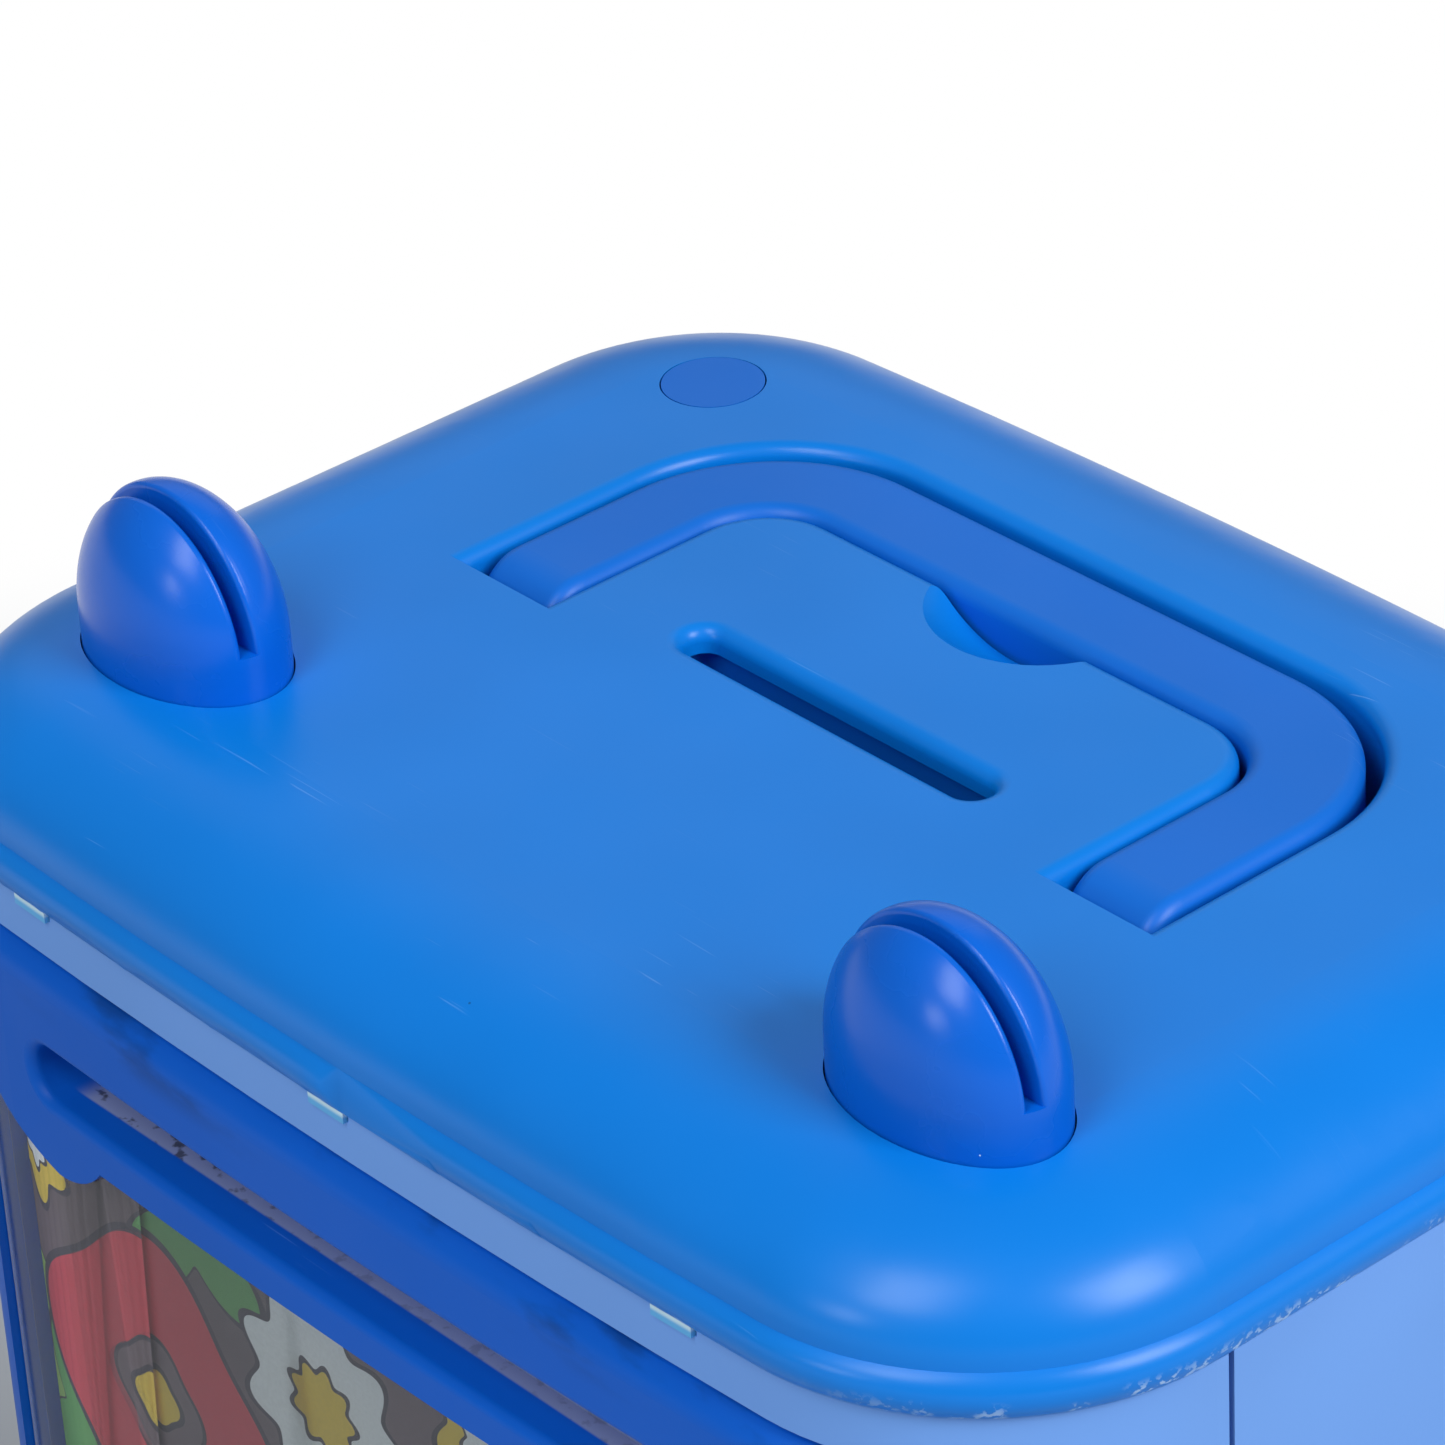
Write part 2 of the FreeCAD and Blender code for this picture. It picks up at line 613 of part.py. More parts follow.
def ear(side):
    dome = Part.makeSphere(1.0, Vector(0, 0, 0), Vector(0, 0, 1), 0, 90, 360)
    stretch = FreeCAD.Matrix()
    stretch.scale(EAR_HALF_LENGTH, EAR_HALF_DEPTH, EAR_DOME)
    dome = dome.transformGeometry(stretch)
    dome.translate(Vector(side * EAR_X, EAR_Y, HEIGHT + EAR_STRAIGHT))
    seat = HEIGHT - EAR_PLUG + EAR_FLANGE_THICK
    stem = ear_hole(side, 0, seat, HEIGHT + EAR_STRAIGHT)
    flange = ear_hole(side, EAR_FLANGE, seat - EAR_FLANGE_THICK, seat)
    slot_y0 = EAR_Y - EAR_SLOT_FORWARD - EAR_SLOT_WIDTH / 2
    slot_y1 = slot_y0 + EAR_SLOT_WIDTH
    floor = HEIGHT + EAR_STRAIGHT + EAR_SLOT_RISE
    solid = joined(dome, stem, flange).cut(box(-FAR, FAR, slot_y0, slot_y1, floor, HEIGHT + FAR))
    rims = []
    for edge in solid.Edges:
        bounds = edge.BoundBox
        on_wall = min(abs(bounds.YMin - slot_y0), abs(bounds.YMax - slot_y1)) < 1e-4
        if on_wall and bounds.YLength < 1e-4 and bounds.ZLength > EAR_DOME / 2:
            rims.append(edge)
    return solid.makeFillet(EAR_SLOT_EDGE, rims)


def carry_handle():
    z0 = HEIGHT - HANDLE_THICK
    inner_x = HANDLE_HALF_WIDTH - HANDLE_BAR
    solid = u_shape(
        HANDLE_HALF_WIDTH, inner_x, HANDLE_PIVOT_Y, HANDLE_REAR_Y - HANDLE_BAR, HANDLE_REAR_Y,
        HANDLE_CORNER_R, INNER_R, z0, HEIGHT)
    ends = []
    bores = []
    for side in (-1, 1):
        x0, x1 = sorted((side * inner_x, side * HANDLE_HALF_WIDTH))
        ends.append(rod_x(HANDLE_THICK / 2, x0, x1, HANDLE_PIVOT_Y, HANDLE_PIVOT_Z))
        bores.append(rod_x(HANDLE_PIN_R + RUNNING_GAP, x0, x1, HANDLE_PIVOT_Y, HANDLE_PIVOT_Z))
    solid = joined(solid, *ends)
    rims = top_edges(solid, HEIGHT, lambda x, y: y > HANDLE_PIVOT_Y + 1)
    return solid.makeFillet(HANDLE_EDGE, rims).cut(bores[0].fuse(bores[1]))


def handle_pin(side):
    pin_in, pin_out = handle_pin_span()
    x0, x1 = sorted((side * pin_in, side * pin_out))
    return rod_x(HANDLE_PIN_R, x0, x1, HANDLE_PIVOT_Y, HANDLE_PIVOT_Z)


def screw_plug(side):
    return rod_z(PLUG_R, HEIGHT - PLUG_THICK, HEIGHT, side * PLUG_X, PLUG_Y)


def screw_up(x, y, seat, tip):
    """A screw along Z whose head rests on seat and whose point is at tip."""
    down = 1 if tip < seat else -1
    top = seat + down * SCREW_HEAD_THICK
    head_z0, head_z1 = sorted((seat, top))
    z0, z1 = sorted((seat, tip))
    screw = rod_z(SCREW_HEAD_R, head_z0, head_z1, x, y).fuse(rod_z(SCREW_R, z0, z1, x, y))
    cross_z0, cross_z1 = sorted((top, top - down * CROSS_DEEP))
    arm = CROSS_LONG / 2
    half = CROSS_WIDE / 2
    cross = box(x - arm, x + arm, y - half, y + half, cross_z0, cross_z1)
    return screw.cut(cross.fuse(box(x - half, x + half, y - arm, y + arm, cross_z0, cross_z1)))


def lid_screws():
    tip = LID_RIM_Z - SCREW_BITE
    return Part.makeCompound([screw_up(side * PLUG_X, PLUG_Y, lid_screw_seat(), tip) for side in (-1, 1)])


def coin_chute():
    """A short tube under the coin slot, hung from the lid's underside."""
    length = COIN_SLOT_LENGTH + 2 * CHUTE_GAP
    width = COIN_SLOT_WIDTH + 2 * CHUTE_GAP
    z1 = HEIGHT - LID_WALL
    z0 = z1 - CHUTE_DROP
    outside = slot_z(length + 2 * CHUTE_WALL, width + 2 * CHUTE_WALL, COIN_SLOT_Y, z0, z1)
    return outside.cut(slot_z(length, width, COIN_SLOT_Y, z0, z1))


def case_walls():
    """Walls all round, with the lip that stands inside the lid's rim."""
    walls = plan_ring(CASE_IN, CASE_IN + CASE_WALL, BASE_TOP, LID_RIM_Z)
    lip_in = SKIRT + LIP_GAP
    root = plan_ring(CASE_IN + CASE_WALL / 2, lip_in + LIP_WALL, LID_RIM_Z - LIP_ROOT, LID_RIM_Z)
    lip = plan_ring(lip_in, lip_in + LIP_WALL, LID_RIM_Z - LIP_ROOT, LID_RIM_Z + LIP_HIGH)
    return joined(walls, root, lip)


def wall_middle(z0, z1):
    """The space inside the middle of the case walls, which ends a rib within the wall."""
    return plan_prism(CASE_IN + CASE_WALL / 2, z0, z1)


def base_post(side, y):
    """A screw post on the base's boss, tied to the side wall by a rib."""
    x = side * BASE_SCREW_X
    z0 = FOOT_HIGH + BASE_BOSS_HIGH
    z1 = z0 + SCREW_BITE + POST_WALL
    x0, x1 = sorted((x, side * LID_WIDTH / 2))
    rib = box(x0, x1, y - RIB / 2, y + RIB / 2, BASE_TOP, z1).common(wall_middle(BASE_TOP, z1))
    return rod_z(SCREW_R + POST_WALL, z0, z1, x, y).fuse(rib)


def base_pilot(side, y):
    z0 = FOOT_HIGH + BASE_BOSS_HIGH
    return rod_z(SCREW_R, z0, z0 + SCREW_BITE, side * BASE_SCREW_X, y)


def hinge_lug(z0, z1):
    return rod_z(HINGE_BARREL_R, z0, z1, HINGE_X, HINGE_Y).common(plan_prism(CASE_IN, z0, z1))


def hinge_pin_bottoms():
    """Lower end of the lower and of the upper hinge pin."""
    lower = DOOR_BOTTOM - DOOR_GAP - HINGE_PIN_SEAT
    upper = DOOR_TOP + DOOR_GAP + HINGE_PIN_SEAT - HINGE_PIN_LENGTH
    return lower, upper


def front_frame():
    cut_y = SEAM_Y - SEAM_GAP / 2
    solid = case_walls().common(box(-FAR, FAR, -FAR, cut_y, 0, FAR))
    opening_x = DOOR_HALF_WIDTH + HINGE_SIDE_GAP
    z0 = DOOR_BOTTOM - DOOR_GAP
    z1 = DOOR_TOP + DOOR_GAP
    opening = door_outline(-opening_x, opening_x, z0, z1, DOOR_CORNER, -FAR, cut_y)
    jamb_back = latch_front_y() - KNOB_CLEAR
    jamb = box(opening_x, opening_x + JAMB_THICK, -LID_DEPTH, jamb_back, BASE_TOP, LID_RIM_Z)
    jamb = jamb.common(plan_prism(CASE_IN, BASE_TOP, LID_RIM_Z))
    lugs = [hinge_lug(BASE_TOP, z0), hinge_lug(z1, LID_RIM_Z)]
    posts = [base_post(side, BASE_SCREW_FRONT_Y) for side in (-1, 1)]
    solid = joined(solid.cut(opening), jamb, *lugs, *posts)
    pilots = [base_pilot(side, BASE_SCREW_FRONT_Y) for side in (-1, 1)]
    for bottom in hinge_pin_bottoms():
        pilots.append(rod_z(HINGE_PIN_R + SEAT_GAP, bottom, bottom + HINGE_PIN_LENGTH, HINGE_X, HINGE_Y))
    for x in tab_places():
        pilots.append(front_tab(x, TAB_WIDTH + 2 * TAB_GAP, LID_RIM_Z - TAB_DROP, 0))
    return solid.cut(pilots[0].multiFuse(pilots[1:]))


def lid_post(side):
    """The post that takes a lid screw, carried by a rib on the side wall."""
    x = side * PLUG_X
    z0 = LID_RIM_Z - 2 * SCREW_BITE
    x0, x1 = sorted((x, side * LID_WIDTH / 2))
    rib = box(x0, x1, PLUG_Y - RIB / 2, PLUG_Y + RIB / 2, z0, LID_RIM_Z).common(wall_middle(z0, LID_RIM_Z))
    return rod_z(SCREW_R + POST_WALL, z0, LID_RIM_Z, x, PLUG_Y).fuse(rib)


def grille_holes():
    holes = [rod_y(GRILLE_HOLE_R, 0, FAR, 0, SPEAKER_Z)]
    for ring in range(1, GRILLE_RINGS + 1):
        count = 6 * ring
        for k in range(count):
            turn = 2 * math.pi * k / count
            x = ring * GRILLE_STEP * math.cos(turn)
            z = SPEAKER_Z + ring * GRILLE_STEP * math.sin(turn)
            holes.append(rod_y(GRILLE_HOLE_R, 0, FAR, x, z))
    return holes[0].multiFuse(holes[1:])


def rear_wall_y():
    return LID_DEPTH / 2 - CASE_IN - CASE_WALL


def rear_shell():
    solid = case_walls().common(box(-FAR, FAR, SEAM_Y + SEAM_GAP / 2, FAR, 0, FAR))
    posts = [base_post(side, BASE_SCREW_REAR_Y) for side in (-1, 1)]
    posts += [lid_post(side) for side in (-1, 1)]
    y0 = rear_wall_y() - SPEAKER_DEEP
    y1 = rear_wall_y() + CASE_WALL / 2
    collar_r = SPEAKER_R + SPEAKER_GAP
    collar = rod_y(collar_r + SPEAKER_COLLAR, y0, y1, 0, SPEAKER_Z).cut(rod_y(collar_r, y0, y1, 0, SPEAKER_Z))
    solid = joined(solid, collar, *posts)
    pilots = [base_pilot(side, BASE_SCREW_REAR_Y) for side in (-1, 1)]
    for side in (-1, 1):
        pilots.append(rod_z(SCREW_R, LID_RIM_Z - SCREW_BITE, LID_RIM_Z, side * PLUG_X, PLUG_Y))
    return solid.cut(pilots[0].multiFuse(pilots[1:])).cut(grille_holes())


def speaker():
    y0 = rear_wall_y() - SPEAKER_DEEP
    basket = rod_y(SPEAKER_R, y0, rear_wall_y() + CASE_WALL, 0, SPEAKER_Z)
    basket = basket.common(plan_prism(CASE_IN + CASE_WALL, 0, HEIGHT))
    return basket.fuse(rod_y(SPEAKER_MAGNET_R, y0 - SPEAKER_MAGNET, y0, 0, SPEAKER_Z))


def battery_half():
    """Half length and half width of the battery space."""
    half_x = CELL_LENGTH / 2 + CONTACT_THICK + CELL_GAP / 2
    half_y = CELL_COUNT * CELL_R + (CELL_COUNT + 1) * CELL_GAP / 2
    return half_x, half_y


def battery_rect(grow, z0, z1):
    half_x, half_y = battery_half()
    return box(-half_x - grow, half_x + grow, BATTERY_Y - half_y - grow, BATTERY_Y + half_y + grow, z0, z1)


def battery_top():
    return BASE_FLOOR + 2 * CELL_R + CELL_GAP


def battery_screw_at():
    return 0, BATTERY_Y + battery_half()[1] + BATTERY_LEDGE + SCREW_HEAD_R + SCREW_HEAD_GAP


def battery_cover_shape(gap, z0, z1):
    """The cover's plate, with a tongue at its rear for one screw."""
    x, y = battery_screw_at()
    half = SCREW_HEAD_R + SCREW_HEAD_GAP + BOSS_WALL - gap
    tongue = box(x - half, x + half, BATTERY_Y, y + half, z0, z1)
    return battery_rect(-gap, z0, z1).fuse(tongue).removeSplitter()


def base_plate():
    arc_mid = BASE_ROUND * (1 - math.sqrt(0.5))
    inner_end = SHOULDER + LID_WALL
    z0 = FOOT_HIGH
    rim = rim_sweep([
        line(section_at(0, BASE_TOP), section_at(0, z0 + BASE_ROUND)),
        arc(section_at(0, z0 + BASE_ROUND), section_at(arc_mid, z0 + arc_mid), section_at(BASE_ROUND, z0)),
        line(section_at(BASE_ROUND, z0), section_at(inner_end, z0)),
        line(section_at(inner_end, z0), section_at(inner_end, BASE_FLOOR)),
        line(section_at(inner_end, BASE_FLOOR), section_at(BASE_ROUND + BASE_WALL, BASE_FLOOR)),
        line(section_at(BASE_ROUND + BASE_WALL, BASE_FLOOR), section_at(BASE_RIM, z0 + BASE_ROUND)),
        line(section_at(BASE_RIM, z0 + BASE_ROUND), section_at(BASE_RIM, BASE_TOP)),
        line(section_at(BASE_RIM, BASE_TOP), section_at(0, BASE_TOP)),
    ])
    boss_top = z0 + BASE_BOSS_HIGH
    bosses = []
    cuts = [battery_cover_shape(0, z0, BASE_FLOOR)]
    for side in (-1, 1):
        for y in (BASE_SCREW_FRONT_Y, BASE_SCREW_REAR_Y):
            x = side * BASE_SCREW_X
            bosses.append(rod_z(SCREW_R + POST_WALL, z0, boss_top, x, y))
            cuts.append(rod_z(SCREW_HEAD_R + SCREW_HEAD_GAP, z0, base_screw_seat(), x, y))
            cuts.append(rod_z(SCREW_R + SCREW_HOLE_GAP, z0, boss_top, x, y))
        for end in (-1, 1):
            cuts.append(rod_z(FOOT_R + FOOT_GAP, z0, z0 + FOOT_SEAT, side * FOOT_X, end * FOOT_Y))
    solid = joined(rim, plan_prism(inner_end, z0, BASE_FLOOR), *bosses)
    return solid.cut(cuts[0].multiFuse(cuts[1:]))


def base_screw_seat():
    return FOOT_HIGH + SCREW_HEAD_THICK + SCREW_HEAD_GAP


def base_screws():
    tip = FOOT_HIGH + BASE_BOSS_HIGH + SCREW_BITE - SCREW_R
    screws = []
    for side in (-1, 1):
        for y in (BASE_SCREW_FRONT_Y, BASE_SCREW_REAR_Y):
            screws.append(screw_up(side * BASE_SCREW_X, y, base_screw_seat(), tip))
    return Part.makeCompound(screws)


def rubber_feet():
    feet = []
    for side in (-1, 1):
        for end in (-1, 1):
            feet.append(rod_z(FOOT_R, 0, FOOT_HIGH + FOOT_SEAT, side * FOOT_X, end * FOOT_Y))
    return Part.makeCompound(feet)


def battery_box():
    """An upturned tray on the base's floor, with a boss for the cover's screw."""
    top = battery_top()
    x, y = battery_screw_at()
    boss_r = SCREW_HEAD_R + SCREW_HEAD_GAP + BOSS_WALL
    boss = rod_z(boss_r, BASE_FLOOR, BASE_FLOOR + SCREW_BITE, x, y)
    bridge_y = BATTERY_Y + battery_half()[1]
    bridge = box(x - boss_r, x + boss_r, bridge_y, y, BASE_FLOOR, BASE_FLOOR + SCREW_BITE)
    tray = joined(battery_rect(BATTERY_WALL, BASE_FLOOR, top + BATTERY_WALL), boss, bridge)
    tray = tray.cut(battery_rect(0, BASE_FLOOR, top))
    return tray.cut(rod_z(SCREW_R, BASE_FLOOR, BASE_FLOOR + SCREW_BITE - BATTERY_WALL, x, y))


def cell_y(k):
    return BATTERY_Y + (k - (CELL_COUNT - 1) / 2) * (2 * CELL_R + CELL_GAP)


def cell_z():
    return BASE_FLOOR + CELL_R + CELL_GAP / 2


def battery_cells():
    """Cells laid side by side, turned end for end, each with its raised positive end."""
    cells = []
    for k in range(CELL_COUNT):
        turn = 1 if k % 2 == 0 else -1
        x0, x1 = sorted((-turn * CELL_LENGTH / 2, turn * (CELL_LENGTH / 2 - CELL_NUB)))
        n0, n1 = sorted((turn * (CELL_LENGTH / 2 - CELL_NUB), turn * CELL_LENGTH / 2))
        can = rod_x(CELL_R, x0, x1, cell_y(k), cell_z())
        cells.append(can.fuse(rod_x(CELL_NUB_R, n0, n1, cell_y(k), cell_z())))
    return Part.makeCompound(cells)


def battery_contacts():
    half_x = battery_half()[0]
    plates = []
    for side in (-1, 1):
        for k in range(CELL_COUNT):
            x0, x1 = sorted((side * half_x, side * (half_x - CONTACT_THICK)))
            y = cell_y(k)
            z = cell_z()
            half = CONTACT_SIZE / 2
            plates.append(box(x0, x1, y - half, y + half, z - half, z + half))
    return Part.makeCompound(plates)


def battery_cover():
    x, y = battery_screw_at()
    plate = battery_cover_shape(BATTERY_COVER_GAP, FOOT_HIGH, BASE_FLOOR)
    return plate.cut(rod_z(SCREW_R + SCREW_HOLE_GAP, FOOT_HIGH, BASE_FLOOR, x, y))


def battery_cover_screw():
    x, y = battery_screw_at()
    tip = BASE_FLOOR + SCREW_BITE - 2 * BATTERY_WALL
    head = rod_z(SCREW_HEAD_R, FOOT_HIGH - SCREW_HEAD_THICK / 2, FOOT_HIGH, x, y)
    return head.fuse(rod_z(SCREW_R, FOOT_HIGH, tip, x, y))


def door_block(inset, shrink):
    """The door's space: the outline at inset, cut to the door's front outline made smaller by shrink."""
    x = DOOR_HALF_WIDTH - shrink
    seen = door_outline(
        -x, x, DOOR_BOTTOM + shrink, DOOR_TOP - shrink, DOOR_CORNER - shrink, -LID_DEPTH, DOOR_BACK_Y)
    return plan_prism(inset, DOOR_BOTTOM, DOOR_TOP).common(seen)


def window_wire(grow, y):
    """The window seen from the front: square below, with a rounded lobe hanging into each upper corner."""
    side = STILE_X + grow
    bottom = WINDOW_BOTTOM - grow
    r = WINDOW_CORNER
    k = r * (1 - math.sqrt(0.5))
    top = WINDOW_TOP + grow
    ear_top = WINDOW_TOP + WINDOW_EAR + grow
    low = WINDOW_TOP - LOBE_BOTTOM + grow
    swell_x = LOBE_X + LOBE_SWELL_OUT
    swell_z = WINDOW_TOP + LOBE_SWELL_UP + grow
    round_x = LOBE_X - LOBE_ROUND_IN

    def at(x, z):
        return Vector(x, y, z)

    edges = [
        line(at(-side + r, bottom), at(side - r, bottom)),
        arc(at(side - r, bottom), at(side - k, bottom + k), at(side, bottom + r)),
        line(at(side, bottom + r), at(side, ear_top)),
        arc(at(side, ear_top), at(swell_x, swell_z), at(LOBE_X, low)),
        arc(at(LOBE_X, low), at(round_x, top - LOBE_BOTTOM / 2), at(LOBE_INNER_X, top)),
        line(at(LOBE_INNER_X, top), at(-LOBE_INNER_X, top)),
        arc(at(-LOBE_INNER_X, top), at(-round_x, top - LOBE_BOTTOM / 2), at(-LOBE_X, low)),
        arc(at(-LOBE_X, low), at(-swell_x, swell_z), at(-side, ear_top)),
        line(at(-side, ear_top), at(-side, bottom + r)),
        arc(at(-side, bottom + r), at(-side + k, bottom + k), at(-side + r, bottom)),
    ]
    return Part.Wire(edges)


def key_places():
    """Column, row and centre of each key, top row first."""
    places = []
    for row in range(KEY_ROWS):
        for column in range(KEY_COLUMNS):
            x = KEY_CENTRE_X + (column - (KEY_COLUMNS - 1) / 2) * KEY_STEP_X
            z = KEY_CENTRE_Z + ((KEY_ROWS - 1) / 2 - row) * KEY_STEP_Z
            places.append((column, row, x, z))
    return places


def keypad_rect(grow, y0, y1):
    half_x, half_z = keypad_half(grow)
    x0 = KEY_CENTRE_X - half_x
    z0 = KEY_CENTRE_Z - half_z
    return box(x0, x0 + 2 * half_x, y0, y1, z0, z0 + 2 * half_z)


def key_outline(x, z, grow, y0, y1):
    half_x = KEY_WIDTH / 2 + grow
    half_z = KEY_HIGH / 2 + grow
    return front_outline(x - half_x, x + half_x, z - half_z, z + half_z, KEY_RADIUS + grow, y0, y1)


def front_layer(inset0, inset1, shape):
    """The part of a shape between two insets of the outline."""
    return shape.common(plan_prism(inset0, 0, HEIGHT)).cut(plan_prism(inset1, 0, HEIGHT))


def dish_front_y():
    return front_y(DOOR_IN, KNOB_X)


def led_places():
    return [(LED_X, KNOB_Z + LED_SPACING / 2), (LED_X, KNOB_Z - LED_SPACING / 2)]


def door_face_edges(shape, keep):
    """Edges that lie on the door's front face and whose middle passes keep(x, z)."""
    found = []
    for edge in shape.Edges:
        middle = edge.valueAt((edge.FirstParameter + edge.LastParameter) / 2)
        on_face = abs(middle.y - front_y(DOOR_IN, middle.x)) < 1e-3
        if on_face and keep(middle.x, middle.z):
            found.append(edge)
    return found


def on_door_rim(x, z):
    inside_x = abs(x) < DOOR_HALF_WIDTH - DOOR_CORNER / 2
    inside_z = DOOR_BOTTOM + DOOR_CORNER / 2 < z < DOOR_TOP - DOOR_CORNER / 2
    return not (inside_x and inside_z)


def on_note_slot(x, z):
    return abs(x) < NOTE_SLOT_LENGTH / 2 + DOOR_GAP and abs(z - NOTE_Z) < NOTE_SLOT_HIGH / 2 + DOOR_GAP


def front_door():
    solid = door_block(DOOR_IN, 0)
    solid = solid.makeFillet(DOOR_EDGE, door_face_edges(solid, on_door_rim))
    slot = slot_y(NOTE_SLOT_LENGTH, NOTE_SLOT_HIGH, NOTE_Z, -FAR, DOOR_BACK_Y)
    collar = guide_block(0).common(plan_prism(SKIN_IN - DOOR_SKIN / 2, 0, HEIGHT))
    collar = collar.cut(plan_prism(GUIDE_IN, 0, HEIGHT)).cut(slot)
    solid = solid.cut(slot)
    solid = solid.makeFillet(NOTE_SLOT_EDGE, door_face_edges(solid, on_note_slot))
    solid = solid.common(box(HINGE_X, FAR, -FAR, FAR, 0, FAR))
    solid = joined(solid, rod_z(HINGE_BARREL_R, DOOR_BOTTOM, DOOR_TOP, HINGE_X, HINGE_Y))
    hollow = door_block(SKIN_IN, DOOR_RIM).common(box(-STILE_X, FAR, -FAR, FAR, 0, FAR))
    dish_r = KNOB_R + DISH_GAP
    y0 = dish_front_y()
    cup = rod_y(dish_r + DISH_WALL, y0, y0 + DISH_DEEP + DISH_WALL, KNOB_X, KNOB_Z)
    cup = cup.common(plan_prism(DOOR_IN, 0, HEIGHT))
    posts = []
    for x, z in door_post_places():
        post = rod_y(DOOR_POST_R, -LID_DEPTH, DOOR_BACK_Y, x, z)
        posts.append(post.common(plan_prism(SKIN_IN - DOOR_SKIN / 2, 0, HEIGHT)))
    solid = joined(solid.cut(hollow), cup, collar, *posts)
    window = prism(window_wire(0, -FAR), Vector(0, FAR + DOOR_BACK_Y, 0))
    field = front_layer(0, DOOR_IN + KEYPAD_SUNK, keypad_rect(KEYPAD_MARGIN, -FAR, 0))
    cuts = [field, rod_y(dish_r, -LID_DEPTH, y0 + DISH_DEEP, KNOB_X, KNOB_Z)]
    cuts.append(rod_y(SPINDLE_R + RUNNING_GAP, -LID_DEPTH, DOOR_BACK_Y, KNOB_X, KNOB_Z))
    for column, row, x, z in key_places():
        cuts.append(key_outline(x, z, KEY_GAP, -FAR, DOOR_BACK_Y))
    for x, z in led_places():
        cuts.append(rod_y(LED_R + SEAT_GAP, -LID_DEPTH, DOOR_BACK_Y, x, z))
    for x, z in door_post_places():
        cuts.append(rod_y(SCREW_R, DOOR_BACK_Y - SCREW_BITE / 2, DOOR_BACK_Y, x, z))
    for bottom in hinge_pin_bottoms():
        cuts.append(rod_z(HINGE_PIN_R + RUNNING_GAP, bottom, bottom + HINGE_PIN_LENGTH, HINGE_X, HINGE_Y))
    return solid.cut(window).cut(cuts[0].multiFuse(cuts[1:]))


def hinge_pin(bottom):
    return rod_z(HINGE_PIN_R, bottom, bottom + HINGE_PIN_LENGTH, HINGE_X, HINGE_Y)


def window_sheet(inset0, inset1):
    """A sheet behind the window, bent to the door's inner face and lapping the opening."""
    blank = prism(window_wire(PANE_LAP, -FAR), Vector(0, FAR + DOOR_BACK_Y, 0))
    blank = blank.common(box(-STILE_X, STILE_X + PANE_LAP, -FAR, FAR, 0, FAR))
    blank = blank.common(door_block(SKIN_IN, DOOR_RIM)).cut(guide_block(GUIDE_CLEAR))
    return front_layer(inset0, inset1, blank)


def window_pane():
    """A clear sheet behind the window, with a raised face that nearly fills the opening."""
    opening = Part.Face(window_wire(0, -FAR)).makeOffset2D(-PANE_GAP)
    raised = opening.extrude(Vector(0, FAR + DOOR_BACK_Y, 0))
    raised = front_layer(DOOR_IN + PANE_SINK, SKIN_IN, raised)
    return window_sheet(SKIN_IN, SKIN_IN + PANE_THICK).fuse(raised).removeSplitter()


def picture_card():
    return window_sheet(SKIN_IN + PANE_THICK, SKIN_IN + PANE_THICK + CARD_THICK)


def guide_block(grow):
    half_x = GUIDE_HALF_WIDTH + grow
    half_z = GUIDE_HIGH / 2 + grow
    return box(-half_x, half_x, -FAR, DOOR_BACK_Y, NOTE_Z - half_z, NOTE_Z + half_z)


def note_guide():
    """The block behind the banknote slot, from the slot's collar to the inner cover, with the narrow slit."""
    block = guide_block(0).common(plan_prism(GUIDE_IN + SEAT_GAP, 0, HEIGHT))
    return block.cut(slot_y(NOTE_SLIT_LENGTH, NOTE_SLIT_HIGH, NIP_Z, -FAR, DOOR_BACK_Y))


def door_post_places():
    low = DOOR_BOTTOM + DOOR_POST_LOW_IN
    high = NOTE_Z + GUIDE_HIGH / 2 + GUIDE_CLEAR + DOOR_POST_R
    return [
        (-DOOR_POST_TOP_X, high),
        (DOOR_POST_TOP_X, high),
        (-DOOR_POST_LOW_X, low),
        (DOOR_POST_LOW_X, low),
    ]


def cover_plate():
    x = DOOR_HALF_WIDTH - COVER_IN
    plate = front_outline(
        -x, x, DOOR_BOTTOM + COVER_IN, DOOR_TOP - COVER_IN, DOOR_CORNER, DOOR_BACK_Y, COVER_BACK_Y)
    return plate.common(box(-STILE_X, FAR, -FAR, FAR, 0, FAR))


def door_inner_cover():
    """The plate that closes the door's back, with pillars behind the keypad and standoffs for the board."""
    pillars = []
    half_x, half_z = keypad_half(0)
    for side in (-1, 1):
        for end in (-1, 1):
            x = KEY_CENTRE_X + side * half_x
            z = KEY_CENTRE_Z + end * half_z
            pillars.append(rod_y(STANDOFF_R, keypad_board_y() + BOARD_THICK, DOOR_BACK_Y, x, z))
    for x, z in main_board_holes():
        pillars.append(rod_y(STANDOFF_R, COVER_BACK_Y, COVER_BACK_Y + STANDOFF, x, z))
    solid = joined(cover_plate(), *pillars)
    slit_length = NOTE_SLIT_LENGTH + 2 * NOTE_SLIT_HIGH
    cuts = [slot_y(slit_length, 2 * NOTE_SLIT_HIGH, NIP_Z, DOOR_BACK_Y, COVER_BACK_Y)]
    cuts.append(rod_y(SPINDLE_R + KNOB_CLEAR, DOOR_BACK_Y, COVER_BACK_Y, KNOB_X, KNOB_Z))
    for x, z in door_post_places():
        cuts.append(rod_y(SCREW_R + SCREW_HOLE_GAP, DOOR_BACK_Y, COVER_BACK_Y, x, z))
    for x, z in main_board_holes():
        cuts.append(rod_y(SCREW_R, COVER_BACK_Y, COVER_BACK_Y + STANDOFF, x, z))
    return solid.cut(cuts[0].multiFuse(cuts[1:]))


